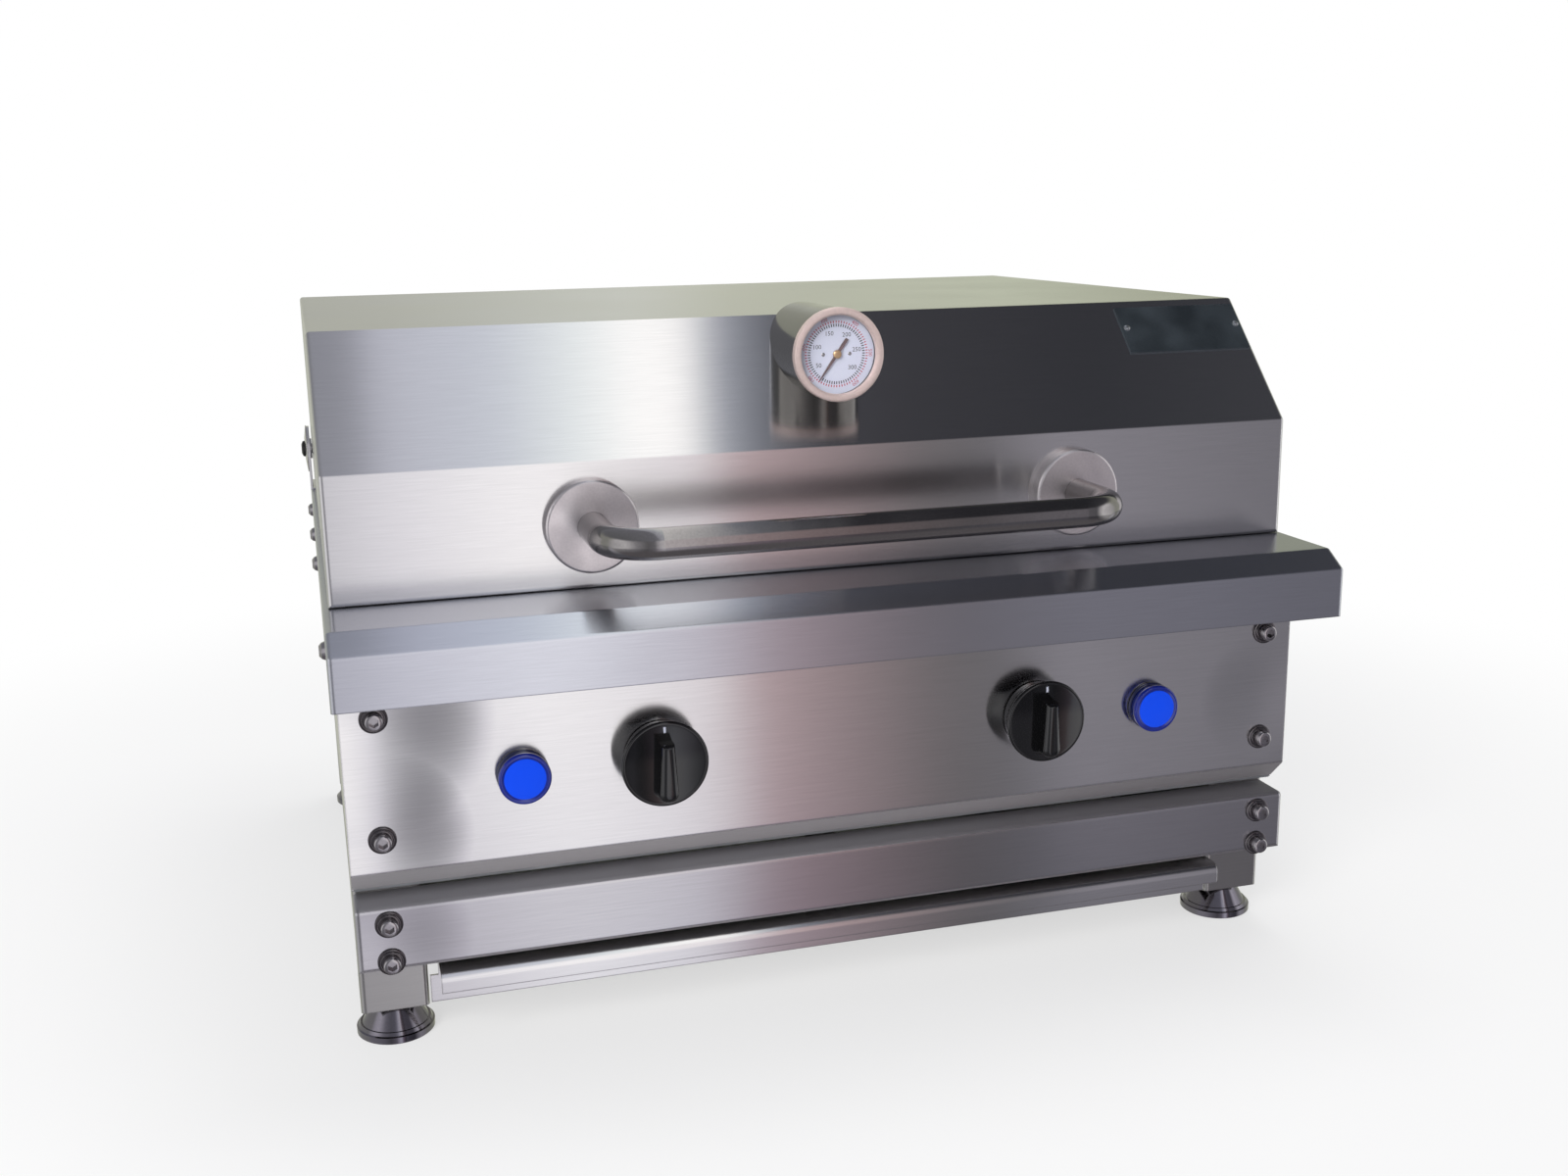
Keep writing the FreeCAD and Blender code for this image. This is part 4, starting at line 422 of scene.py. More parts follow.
FINISHES = {
    # Belt-brushed 304 sheet is bright, and what it mirrors is drawn out across its scratches.
    "sheet_steel": BrushedStainless("brushed_304_sheet"),
    # Welded and brushed tube is greyer, with blurred reflections.
    "tube_steel": BrushedStainless("brushed_304_tube", tone="BDBBB8", roughness=0.31),
    # Satin 304 is pale and shows soft patches in place of shapes.
    "satin_steel": TurnedSteel("satin_304_steel", "E8E2E2", 0.345),
    # Buffed 304 is a nearly clear mirror.
    "polished_steel": TurnedSteel("polished_304_steel", "C8C4C2", 0.13),
    # Cold-headed stainless screws have small bright glints.
    "screw_steel": TurnedSteel("stainless_fasteners", "B4B0B2", 0.2),
    # Electroplated zinc is a cool grey with a dull shine.
    "zinc_steel": TurnedSteel("zinc_plated_steel", "B5B8BA", 0.35),
    # Stoved enamel is an even black with a soft shine.
    "black_steel": MouldedPlastic("black_enamelled_steel", "0A0A0A", 0.35),
    # Hot-dip zinc is a flat grey, mottled by its spangle.
    "galvanised": TurnedSteel("galvanised_sheet", "A9ADAE", 0.42, speck=9 * MM),
    # Ground plate is a dull grey with its streaks one way.
    "griddle_steel": BrushedStainless("ground_steel_plate", tone="8E8C88", roughness=0.38),
    # A steel sheath that heat has browned is dark and dull.
    "element_sheath": TurnedSteel("heat_tinted_sheath", "5A5148", 0.45),
    # Drawn copper is warm and a little dull.
    "copper": TurnedSteel("drawn_copper", "C27B54", 0.35),
    # Turned brass is a pale yellow with a dull shine.
    "brass": TurnedSteel("turned_brass", "D8B48C", 0.35),
    # Moulded nylon is a half matt black.
    "black_plastic": MouldedPlastic("black_nylon", "101010", 0.5),
    # Pressed phenolic is nearly black under a hard gloss.
    "knob_black": MouldedPlastic("black_phenolic", "040405", 0.12, coat=0.4),
    # Fired steatite is cream and matt.
    "control_housing": MouldedPlastic("moulded_steatite", "CFC8B8", 0.6),
    # Natural nylon is milky and half matt.
    "terminal_white": MouldedPlastic("natural_nylon", "DCD8C8", 0.5),
    # Moulded polycarbonate is dark blue and glossy.
    "lamp_body": MouldedPlastic("navy_polycarbonate", "050F3C", 0.12, coat=0.5),
    # A frosted polycarbonate window is a soft blue, faintly lit from behind.
    "lamp_lens": MouldedPlastic("blue_polycarbonate", "003CC8", 0.5, ior=1.3, glow=0.45),
    # Fired dial enamel is a cool off-white with a soft shine.
    "dial_white": MouldedPlastic("white_dial_enamel", "BFC2D2", 0.35),
    # Sprayed lacquer is a dull brown.
    "pointer_black": MouldedPlastic("brown_pointer_lacquer", "5E4B4C", 0.35),
    # Float glass shows by its highlights alone.
    "gauge_glass": ClearGlass("clear_dial_glass"),
}
# Printed inks lie flat and half matt on the enamel.
SCALE_INK = MouldedPlastic("black_scale_ink", "08080C", 0.5)
RED_INK = MouldedPlastic("red_scale_ink", "A01430", 0.5)
# A spun bezel, set paler and softer than bare steel and only partly metallic so that it shows
# evenly bright: a painted sheen in place of what its flat ring would mirror.
BEZEL_STEEL = TurnedSteel("pale_bezel_painted_sheen", "DCC6C0", 0.345, metallic=0.3)
# The lens's wall is the window's blue plastic set a deeper blue, as painted shade for the thick
# wall seen edge-on.
LENS_WALL = MouldedPlastic("lens_wall_painted_shade", "041C7C", 0.1, coat=0.6)
# The washers are set darker than the screws on them.
SPRING_WASHER = TurnedSteel("dark_spring_washer", "6E6A6C", 0.21)
# A buffed foot mirrors darkly; its tone is set darker than the other buffed steel's, as painted
# shade.
POLISHED_FOOT = TurnedSteel("polished_304_foot", "86828A", 0.1)
NODE_FINISHES = {
    # Wiping has dulled the worktop, so its reflections are softer than the lid's.
    # Its tone is set darker and bluer than the panel's, as painted shade for the apron's slightly
    # different angle to the light.
    "worktop": BrushedStainless("brushed_304_worktop", tone="CFD0D6", roughness=0.235),
    # The bare plate is smooth and dark.
    "maker_plate": TurnedSteel("bare_dark_plate", "7E888E", 0.35, unevenness=0.0),
    # The screws pull the panel in, and its lower return lies matt in its own shade.
    "control_panel": BrushedStainless(
        "brushed_304_panel", fold_roughness=0.6, dimples=(
            Dimple((LEFT_SCREWS, PANEL_FACE, 205 * MM), 68 * MM, 3.4 * MM),
            Dimple((LEFT_SCREWS, PANEL_FACE, 137.5 * MM), 52 * MM, 2.2 * MM),
            Dimple((-LEFT_SCREWS, PANEL_FACE, 165 * MM), 44 * MM, 1.0 * MM))),
    # The rail is the same sheet, pulled in a little at its left screws; its darker tone is
    # painted shade.
    "front_rail": BrushedStainless(
        "brushed_304_rail", tone="C4C2C4", fold_roughness=0.6, dimples=(
            Dimple((LEFT_SCREWS, RAIL_FACE, 76 * MM), 48 * MM, 1.0 * MM),)),
    # Buffed bar and tube mirror the room in long dark and light lines.
    # The bar's tone is set darker than the other buffed steel's, as painted shade.
    "handle_bar": TurnedSteel("polished_304_tube", "A09C9A", 0.11),
    "gauge_housing": TurnedSteel("polished_304_housing", "8A8884", 0.16),
    **{f"foot_{corner}": POLISHED_FOOT
       for corner in ("front_left", "front_right", "rear_left", "rear_right")},
}


class FinishShelf:
    """Makes each finish once and hands it out."""

    def __init__(self) -> None:
        """Start with an empty shelf."""
        self.made: dict[str, bpy.types.Material] = {}

    def take(self, finish: object) -> bpy.types.Material:
        """Hand out a finish, made the first time it is asked for.

        Args:
            finish: one of the finish classes.

        Returns:
            Its material.
        """
        if finish.name not in self.made:
            self.made[finish.name] = finish.build()
        return self.made[finish.name]


def dress_cad_nodes(shelf: FinishShelf) -> None:
    """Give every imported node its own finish, or its slot's.

    Args:
        shelf: the finishes.
    """
    slots = {part["node"]: part["material_slot"] for part in frame["record"]["subparts"]}
    for name, item in frame["nodes"].items():
        finish = NODE_FINISHES.get(name, FINISHES[slots[name]])
        item.data.materials.clear()
        item.data.materials.append(shelf.take(finish))
        LOG.info("%s is dressed in %s", name, finish.name)


Rings = tuple[tuple[float, float], ...]
FACING_FRONT = (math.pi / 2, 0.0, 0.0)


def turn_rings(name: str, rings: Rings, sides: int = 64,
               hollow: bool = False) -> bpy.types.Object:
    """Turn a body: a first ring, then one extrusion for every step of its profile.

    Args:
        name: the piece's name.
        rings: radius and height of each ring, in millimetres.
        sides: how many straight sides stand for the circle.
        hollow: whether the last ring meets the first, as in a washer.

    Returns:
        The piece, standing on its axis at the origin.
    """
    bpy.ops.object.select_all(action="DESELECT")
    radius, height = rings[0]
    bpy.ops.mesh.primitive_circle_add(vertices=sides, radius=radius * MM,
                                      fill_type="NOTHING" if hollow else "NGON")
    item = bpy.context.active_object
    item.name = name
    bpy.ops.object.mode_set(mode="EDIT")
    bpy.ops.mesh.select_all(action="SELECT")
    bpy.ops.transform.translate(value=(0.0, 0.0, height * MM))
    for wide, high in rings[1:]:
        bpy.ops.mesh.extrude_region_move(
            TRANSFORM_OT_translate={"value": (0.0, 0.0, (high - height) * MM)})
        bpy.ops.transform.resize(value=(wide / radius, wide / radius, 1.0),
                                 center_override=(0.0, 0.0, high * MM))
        radius, height = wide, high
    bpy.ops.mesh.select_all(action="SELECT")
    bpy.ops.mesh.remove_doubles(threshold=NEAR * MM)
    bpy.ops.mesh.normals_make_consistent(inside=False)
    bpy.ops.object.mode_set(mode="OBJECT")
    return item


def block(name: str, size: tuple[float, float, float]) -> bpy.types.Object:
    """Make a box round the origin.

    Args:
        name: the piece's name.
        size: its width, depth and height in millimetres.

    Returns:
        The box.
    """
    bpy.ops.object.select_all(action="DESELECT")
    bpy.ops.mesh.primitive_cube_add(size=MM)
    item = bpy.context.active_object
    item.name = name
    bpy.ops.object.mode_set(mode="EDIT")
    bpy.ops.mesh.select_all(action="SELECT")
    bpy.ops.transform.resize(value=size, center_override=(0.0, 0.0, 0.0))
    bpy.ops.object.mode_set(mode="OBJECT")
    return item


def pick(item: bpy.types.Object, test: Callable[[Vector], bool]) -> None:
    """Go into edit mode with some of a piece's vertices selected.

    Args:
        item: the piece.
        test: whether a vertex at a place, in millimetres, is taken.
    """
    bpy.ops.object.mode_set(mode="EDIT")
    bpy.ops.mesh.select_mode(type="VERT")
    bpy.ops.mesh.select_all(action="DESELECT")
    bpy.ops.object.mode_set(mode="OBJECT")
    for vertex in item.data.vertices:
        vertex.select = test(vertex.co / MM)
    bpy.ops.object.mode_set(mode="EDIT")


def soften(item: bpy.types.Object, test: Callable[[Vector], bool], width: float,
           steps: int) -> None:
    """Round the edges between the vertices that pass a test.

    Args:
        item: the piece.
        test: whether a vertex at a place, in millimetres, is taken.
        width: how far the rounding reaches from an edge, in millimetres.
        steps: how many strips it has.
    """
    pick(item, test)
    bpy.ops.mesh.bevel(offset=width * MM, segments=steps, affect="EDGES")
    bpy.ops.object.mode_set(mode="OBJECT")


def seat(item: bpy.types.Object, place: Vector,
         turn: tuple[float, float, float] = FACING_FRONT) -> bpy.types.Object:
    """Turn a piece, bring it to its place and fix it there, smooth but for its corners.

    Args:
        item: the piece.
        place: where its origin goes.
        turn: its rotation.

    Returns:
        The piece.
    """
    bpy.ops.object.select_all(action="DESELECT")
    item.select_set(True)
    bpy.context.view_layer.objects.active = item
    item.location = place
    item.rotation_euler = turn
    bpy.ops.object.transform_apply(location=True, rotation=True, scale=True)
    bpy.ops.object.shade_smooth_by_angle(angle=SMOOTH_BELOW)
    return item


def copy_of(item: bpy.types.Object, name: str) -> bpy.types.Object:
    """Copy a piece, its mesh too.

    Args:
        item: the piece.
        name: the copy's name.

    Returns:
        The copy.
    """
    bpy.ops.object.select_all(action="DESELECT")
    item.select_set(True)
    bpy.context.view_layer.objects.active = item
    bpy.ops.object.duplicate(linked=False)
    twin = bpy.context.active_object
    twin.name = name
    return twin


def join_all(items: list[bpy.types.Object], name: str) -> bpy.types.Object:
    """Join pieces into one object.

    Args:
        items: the pieces.
        name: the name of the whole.

    Returns:
        The whole.
    """
    bpy.ops.object.select_all(action="DESELECT")
    for item in items:
        item.select_set(True)
    bpy.context.view_layer.objects.active = items[0]
    bpy.ops.object.join()
    items[0].name = name
    return items[0]


def hand_over(item: bpy.types.Object, material: bpy.types.Material, slot: str, body: str,
              *nodes: str) -> None:
    """Finish a piece: its material, the body it rides and the nodes it stands for.

    Args:
        item: the piece, in place.
        material: its finish.
        slot: the record's name for that finish; not used.
        body: the body that carries it.
        nodes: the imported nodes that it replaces.
    """
    item.data.materials.clear()
    item.data.materials.append(material)
    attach(item, body)
    if nodes:
        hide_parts(*nodes)
    LOG.info("%s rides %s", item.name, body)


def middle(node: str) -> Vector:
    """Give the middle of a node's box, at the rear face."""
    low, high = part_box(node)
    return Vector(((low.x + high.x) / 2, high.y, (low.z + high.z) / 2))


@dataclass(frozen=True)
class Knob:
    """A glossy black control knob: a dished skirt, a raised grip and a white index mark.

    Its profile runs from the rear edge to the face, as radius and height in millimetres.
    """

    side: str
    profile: Rings = (
        (20.8, 0.0), (21.4, 0.5), (21.6, 2.4), (22.4, 6.0), (23.9, 10.4), (25.2, 13.6),
        (25.7, 14.8), (25.8, 15.5), (25.6, 16.2), (25.1, 16.8), (24.4, 17.0), (23.7, 16.9),
        (22.8, 16.6))
    grip_wide: float = 12.0
    grip_narrow: float = 0.68
    grip_low: float = -21.0
    grip_high: float = 14.0
    grip_top: float = 27.0
    root: float = 2.0
    foot_round: float = 0.94
    top_round: float = 3.8
    face: float = 16.6
    mark_size: tuple[float, float, float] = (1.5, 3.6, 0.9)
    mark_round: float = 0.3
    mark_up: float = 20.8

    def grip(self) -> bpy.types.Object:
        """Model the grip: narrow at its upper end, round at its lower one.

        Returns:
            The grip, at the origin, facing up.
        """
        tall = self.grip_high - self.grip_low
        item = block("knob_grip_" + self.side, (self.grip_wide, tall, self.grip_top - self.root))
        half = self.grip_wide / 2
        foot = -tall / 2
        top = (self.grip_top - self.root) / 2
        pick(item, lambda at: at.y > 0)
        bpy.ops.transform.resize(value=(self.grip_narrow, 1.0, 1.0),
                                 center_override=(0.0, 0.0, 0.0))
        for side in (-1, 1):
            soften(item, lambda at, side=side: at.y < foot + NEAR and at.x * side > half - NEAR,
                   half * self.foot_round, 10)
        soften(item, lambda at: at.z > top - NEAR, self.top_round, 7)
        pick(item, lambda at: True)
        bpy.ops.transform.translate(
            value=(0.0, (self.grip_high + self.grip_low) / 2 * MM, (top + self.root) * MM))
        bpy.ops.object.mode_set(mode="OBJECT")
        return item

    def build(self, shelf: FinishShelf) -> None:
        """Model the knob and set it on its spindle.

        Args:
            shelf: the finishes.
        """
        node = "knob_" + self.side
        place = middle(node)
        black = shelf.take(FINISHES["knob_black"])
        body = "control_" + self.side
        cap = seat(turn_rings("knob_cap_" + self.side, self.profile, 96), place)
        hand_over(cap, black, "knob_black", body, node)
        hand_over(seat(self.grip(), place), black, "knob_black", body, node)
        mark = block("knob_mark_" + self.side, self.mark_size)
        soften(mark, lambda at: at.z > 0, self.mark_round, 2)
        seat(mark, place + Vector((0.0, -self.face * MM, self.mark_up * MM)))
        hand_over(mark, shelf.take(FINISHES["dial_white"]), "dial_white", body, node)


@dataclass(frozen=True)
class PilotLamp:
    """A blue pilot lamp: a dark flange, a tinted lens with a rim and a bright flat window."""

    side: str
    flange: Rings = ((14.4, 0.0), (15.2, 0.5), (15.3, 1.2), (15.1, 2.0), (14.4, 2.5))
    lens: Rings = (
        (13.6, 2.4), (13.9, 2.8), (14.0, 5.6), (14.8, 6.2), (15.2, 6.9), (15.2, 8.9),
        (14.9, 9.6), (14.2, 10.0), (13.2, 10.0), (12.5, 9.6))
    window: Rings = ((11.9, 9.4), (12.1, 9.6), (11.9, 9.8), (11.4, 9.9))

    def build(self, shelf: FinishShelf) -> None:
        """Model the lamp on the panel's face.

        Args:
            shelf: the finishes.
        """
        flange_node = "pilot_lamp_" + self.side
        low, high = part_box(flange_node)
        place = Vector(((low.x + high.x) / 2, PANEL_FACE, (low.z + high.z) / 2))
        navy = shelf.take(FINISHES["lamp_body"])
        flange = seat(turn_rings("lamp_flange_" + self.side, self.flange), place)
        hand_over(flange, navy, "lamp_body", "base", flange_node)
        lens = seat(turn_rings("lamp_lens_" + self.side, self.lens), place)
        hand_over(lens, shelf.take(LENS_WALL), "lamp_lens", "base", "lamp_lenses")
        window = seat(turn_rings("lamp_window_" + self.side, self.window), place)
        hand_over(window, shelf.take(FINISHES["lamp_lens"]), "lamp_lens", "base", "lamp_lenses")


@dataclass(frozen=True)
class LidThermometer:
    """The lid gauge's visible front: a rolled bezel, a printed scale, rivets and a brass hub."""

    bezel: Rings = (
        (27.0, 0.0), (27.6, 0.5), (27.6, 4.6), (27.4, 5.2), (27.0, 5.6), (26.4, 5.8),
        (24.6, 5.9), (24.0, 5.7), (23.5, 5.1), (23.2, 4.2), (23.0, 3.2), (23.0, 1.8),
        (23.6, 1.6), (24.6, 0.6), (27.0, 0.0))
    hub: Rings = ((2.2, 0.0), (2.5, 0.2), (2.5, 0.7), (2.0, 1.2), (1.2, 1.4))
    rivet: Rings = ((1.0, 0.0), (1.1, 0.15), (0.8, 0.4), (0.4, 0.5))
    rivet_out: float = 8.2
    ink: float = 0.06
    ink_lift: float = 0.04
    ticks: int = 72
    tick_wide: float = 0.6
    black_tick: float = 1.7
    red_tick: float = 1.3
    black_at: float = 16.9
    red_at: float = 18.9
    black_size: float = 3.7
    red_size: float = 3.0
    black_numbers_at: float = 12.8
    red_numbers_at: float = 21.0
    outline_step: float = 0.002
    black_numbers: tuple[tuple[int, float], ...] = (
        (50, 240), (100, 290), (150, 340), (200, 30), (250, 80), (300, 130))
    red_numbers: tuple[tuple[int, float], ...] = (
        (100, 228), (200, 283), (300, 339), (400, 34), (500, 90), (600, 146))

    def tick_ring(self, name: str, radius: float, length: float) -> bpy.types.Object:
        """Print a ring of ticks: one stroke, then the others spun round the middle.

        Args:
            name: the object's name.
            radius: from the dial's middle to the middle of a stroke, in millimetres.
            length: a stroke's length in millimetres.

        Returns:
            The strokes as one object.
        """
        item = block(name, (self.tick_wide, length, self.ink))
        pick(item, lambda at: True)
        bpy.ops.transform.translate(value=(0.0, radius * MM, 0.0))
        bpy.ops.mesh.spin(steps=self.ticks - 1, dupli=True,
                          angle=2 * math.pi * (self.ticks - 1) / self.ticks,
                          center=(0.0, 0.0, 0.0), axis=(0.0, 0.0, 1.0))
        bpy.ops.object.mode_set(mode="OBJECT")
        return item

    def numbers(self, name: str, marks: tuple[tuple[int, float], ...], radius: float,
                size: float, radial: bool) -> bpy.types.Object:
        """Print the numbers of a scale.

        Args:
            name: the object's name.
            marks: each number with its clockwise angle from the top, in degrees.
            radius: how far out they stand, in millimetres.
            size: their height in millimetres.
            radial: whether each number's foot points to the middle.

        Returns:
            The numbers as one object.
        """
        items = []
        for number, angle in marks:
            around = math.radians(angle)
            bpy.ops.object.select_all(action="DESELECT")
            bpy.ops.object.text_add(
                location=(radius * MM * math.sin(around), radius * MM * math.cos(around), 0.0),
                rotation=(0.0, 0.0, -around if radial else 0.0))
            item = bpy.context.active_object
            item.data.body = str(number)
            item.data.size = size * MM
            item.data.extrude = self.ink / 2 * MM
            item.data.resolution_u = 2
            item.data.align_x = "CENTER"
            item.data.align_y = "CENTER"
            bpy.ops.object.convert(target="MESH")
            bpy.ops.object.transform_apply(location=True, rotation=True, scale=True)
            items.append(item)
        whole = join_all(items, name)
        pick(whole, lambda at: True)
        bpy.ops.mesh.remove_doubles(threshold=self.outline_step * MM)
        bpy.ops.mesh.normals_make_consistent(inside=False)
        bpy.ops.object.mode_set(mode="OBJECT")
        return whole

    def build(self, shelf: FinishShelf) -> None:
        """Model the gauge's front and set it on its case.

        Args:
            shelf: the finishes.
        """
        rim = middle("gauge_bezel")
        bezel = seat(turn_rings("thermometer_bezel", self.bezel, 96, hollow=True), rim)
        hand_over(bezel, shelf.take(BEZEL_STEEL), "polished_steel", "lid", "gauge_bezel")
        face = Vector((rim.x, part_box("gauge_dial")[0].y, rim.z))
        black = shelf.take(SCALE_INK)
        red = shelf.take(RED_INK)
        printed = (
            (self.tick_ring("scale_ticks_black", self.black_at, self.black_tick), black),
            (self.tick_ring("scale_ticks_red", self.red_at, self.red_tick), red),
            (self.numbers("scale_numbers_black", self.black_numbers, self.black_numbers_at,
                          self.black_size, False), black),
            (self.numbers("scale_numbers_red", self.red_numbers, self.red_numbers_at,
                          self.red_size, True), red))
        for item, ink in printed:
            hand_over(seat(item, face - Vector((0.0, self.ink_lift * MM, 0.0))), ink,
                      "pointer_black", "lid")
        for side, name in ((-1, "left"), (1, "right")):
            rivet = seat(turn_rings("dial_rivet_" + name, self.rivet, 24),
                         face + Vector((side * self.rivet_out * MM, 0.0, 0.0)))
            hand_over(rivet, shelf.take(FINISHES["screw_steel"]), "screw_steel", "lid")
        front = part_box("gauge_pointer")[0].y
        hub = seat(turn_rings("pointer_hub", self.hub, 32), Vector((rim.x, front, rim.z)))
        hand_over(hub, shelf.take(FINISHES["brass"]), "brass", "gauge_needle")


@dataclass(frozen=True)
class CapScrews:
    """Socket head screws on domed washers, two by two up each side of a front."""

    node: str
    face: float
    head: Rings = (
        (4.7, 0.0), (5.0, 0.3), (5.0, 4.9), (4.9, 5.4), (4.6, 5.8), (4.1, 6.0))
    washer: Rings = (
        (7.8, 0.0), (8.0, 0.3), (8.0, 0.8), (7.7, 1.2), (7.1, 1.35), (6.6, 1.1), (6.2, 1.15),
        (5.9, 1.5), (5.4, 1.6))
    head_radius: float = 5.0
    socket_radius: float = 2.95
    socket_deep: float = 3.0

    def head_with_socket(self) -> bpy.types.Object:
        """Turn one head and cut the hexagon into it.

        Returns:
            The head, at the origin, facing up.
        """
        item = turn_rings(self.node + "_head", self.head, 48)
        bpy.ops.object.select_all(action="DESELECT")
        top = self.head[-1][1]
        bpy.ops.mesh.primitive_cylinder_add(
            vertices=6, radius=self.socket_radius * MM, depth=self.socket_deep * 2 * MM,
            location=(0.0, 0.0, top * MM))
        cutter = bpy.context.active_object
        bpy.context.view_layer.objects.active = item
        cut = item.modifiers.new("socket", "BOOLEAN")
        cut.operation = "DIFFERENCE"
        cut.object = cutter
        bpy.ops.object.modifier_apply(modifier=cut.name)
        bpy.data.objects.remove(cutter, do_unlink=True)
        return item

    def build(self, shelf: FinishShelf) -> None:
        """Set a washer and a head at each hole.

        Args:
            shelf: the finishes.
        """
        low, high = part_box(self.node)
        first_head = self.head_with_socket()
        first_washer = turn_rings(self.node + "_washer", self.washer, 48)
        bright = shelf.take(FINISHES["screw_steel"])
        dark = shelf.take(SPRING_WASHER)
        reach = self.head_radius * MM
        number = 0
        for x in (low.x + reach, high.x - reach):
            for z in (low.z + reach, high.z - reach):
                number += 1
                place = Vector((x, self.face, z))
                washer = seat(copy_of(first_washer, f"{self.node}_washer_{number}"), place)
                hand_over(washer, dark, "screw_steel", "base", "screw_washers")
                lift = Vector((0.0, -self.washer[-1][1] * MM, 0.0))
                head = seat(copy_of(first_head, f"{self.node}_head_{number}"), place + lift)
                hand_over(head, bright, "screw_steel", "base", self.node)
        for item in (first_head, first_washer):
            bpy.data.objects.remove(item, do_unlink=True)


@dataclass(frozen=True)
class RunnerWeb:
    """The upright web of a drawer runner: a strip between two legs, folded out along its top.

    Lengths are in millimetres; the strip stands beside the tray, clear of it.
    """

    side: str
    clearance: float = 0.2
    thickness: float = 1.5
    rise: float = 25.0
    fold: float = 7.0
    end_gap: float = 0.6

    def build(self, shelf: FinishShelf) -> None:
        """Model the strip and fix it between the legs.

        Args:
            shelf: the finishes.
        """
        sign = -1 if self.side == "left" else 1
        low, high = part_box("drawer_runners")
        rail_low, rail_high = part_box("side_rails")
        length = (rail_high.y - rail_low.y) / MM - self.end_gap
        item = block("runner_web_" + self.side, (self.thickness, length, self.rise))
        top = self.rise / 2
        pick(item, lambda at: at.z > 0)
        bpy.ops.mesh.extrude_region_move(
            TRANSFORM_OT_translate={"value": (0.0, 0.0, self.thickness * MM)})
        bpy.ops.object.mode_set(mode="OBJECT")
        pick(item, lambda at: at.z > top - NEAR and at.x * sign > 0)
        bpy.ops.mesh.extrude_region_move(
            TRANSFORM_OT_translate={"value": (sign * self.fold * MM, 0.0, 0.0)})
        bpy.ops.mesh.select_all(action="SELECT")
        bpy.ops.mesh.normals_make_consistent(inside=False)
        bpy.ops.object.mode_set(mode="OBJECT")
        out = high.x + (self.clearance + self.thickness / 2) * MM
        place = Vector((sign * out, (rail_low.y + rail_high.y) / 2, low.z + top * MM))
        seat(item, place, (0.0, 0.0, 0.0))
        hand_over(item, shelf.take(FINISHES["galvanised"]), "galvanised", "base")


@dataclass(frozen=True)
class Viewpoint:
    """The photograph's camera, from a fit to the straight edges of the object."""

    place: tuple[float, float, float] = (-0.30443, -1.12140, 0.48612)
    turn: float = math.radians(16.131)
    tilt: float = math.radians(-13.218)
    roll: float = math.radians(-1.005)
    lens: float = 37.94
    sensor: float = 36.0

    def build(self) -> None:
        """Add the camera and make it the scene's."""
        ahead = Vector((math.sin(self.turn) * math.cos(self.tilt),
                        math.cos(self.turn) * math.cos(self.tilt), math.sin(self.tilt)))
        level = Vector((math.cos(self.turn), -math.sin(self.turn), 0.0))
        upward = level.cross(ahead)
        right = level * math.cos(self.roll) + upward * math.sin(self.roll)
        above = upward * math.cos(self.roll) - level * math.sin(self.roll)
        camera = bpy.data.cameras.new("photo_camera")
        camera.lens = self.lens
        camera.sensor_width = self.sensor
        item = bpy.data.objects.new("photo_camera", camera)
        item.matrix_world = Matrix.Translation(self.place) @ Matrix(
            (right, above, -ahead)).transposed().to_4x4()
        bpy.context.collection.objects.link(item)
        bpy.context.scene.camera = item


@dataclass(frozen=True)
class Surround:
    """One side of the room that polished steel reflects: tones by how far right a ray goes.

    The stops pair a ray's sideways part, from -1 at the left to 1 at the right, with a tone.
    """

    stops: tuple[tuple[float, str], ...]

    def build(self, tree: bpy.types.NodeTree,
              sideways: bpy.types.NodeSocket) -> bpy.types.NodeSocket:
        """Add the tones to the room's tree.

        Args:
            tree: the world's node tree.
            sideways: the ray's sideways part.

        Returns:
            The colour socket.
        """
        along = add_node(tree, "MapRange", {"Value": sideways, "From Min": -1.0, "From Max": 1.0})
        tones = add_node(tree, "ValToRGB", {"Fac": along.outputs[0]})
        ramp = tones.color_ramp
        ramp.elements.remove(ramp.elements[1])
        for number, (place, tone) in enumerate(self.stops):
            stop = ramp.elements[0] if number == 0 else ramp.elements.new((place + 1) / 2)
            stop.position = (place + 1) / 2
            stop.color = linear(tone)
        return tones.outputs[0]


FRONT_ROOM = Surround((
    (-1.0, "C8C8CC"), (-0.85, "E2E2E6"), (-0.6, "9E9EA4"), (-0.3, "747478"), (-0.1, "808086"),
    (-0.02, "B4B4BA"), (0.04, "DAD9E0"), (0.13, "F6F5F7"), (0.225, "DEDADF"),
    (0.25, "AE999C"), (0.35, "6C686B"), (0.39, "646367"), (0.42, "84828A"), (0.54, "6F6E75"),
    (0.7, "66666C"), (0.85, "EEEEF2"), (1.0, "C4C4C8")))
LOW_ROOM = Surround((
    (-1.0, "A0A0A4"), (-0.6, "86868C"), (-0.3, "646468"), (-0.05, "84828A"),
    (0.03, "B6B3BE"), (0.13, "DEDFE8"), (0.20, "CDCED9"), (0.235, "8C7E8B"), (0.31, "605A61"),
    (0.36, "484A4D"), (0.40, "686871"), (0.5, "515057"), (0.7, "4A4A50"), (0.85, "B4B4B8"),
    (1.0, "8A8A90")))
CEILING = Surround((
    (-1.0, "6E7074"), (-0.5, "7A7C82"), (0.03, "84868F"), (0.04, "B6B8C4"), (0.11, "C2C7D2"),
    (0.16, "E4EBED"), (0.19, "FFFFFF"), (0.222, "FFFFFF"), (0.238, "8C92A0"), (0.27, "5C5E66"),
    (0.30, "3A3A3F"), (0.45, "303136"), (0.8, "4A4B50"), (1.0, "6A6B70")))
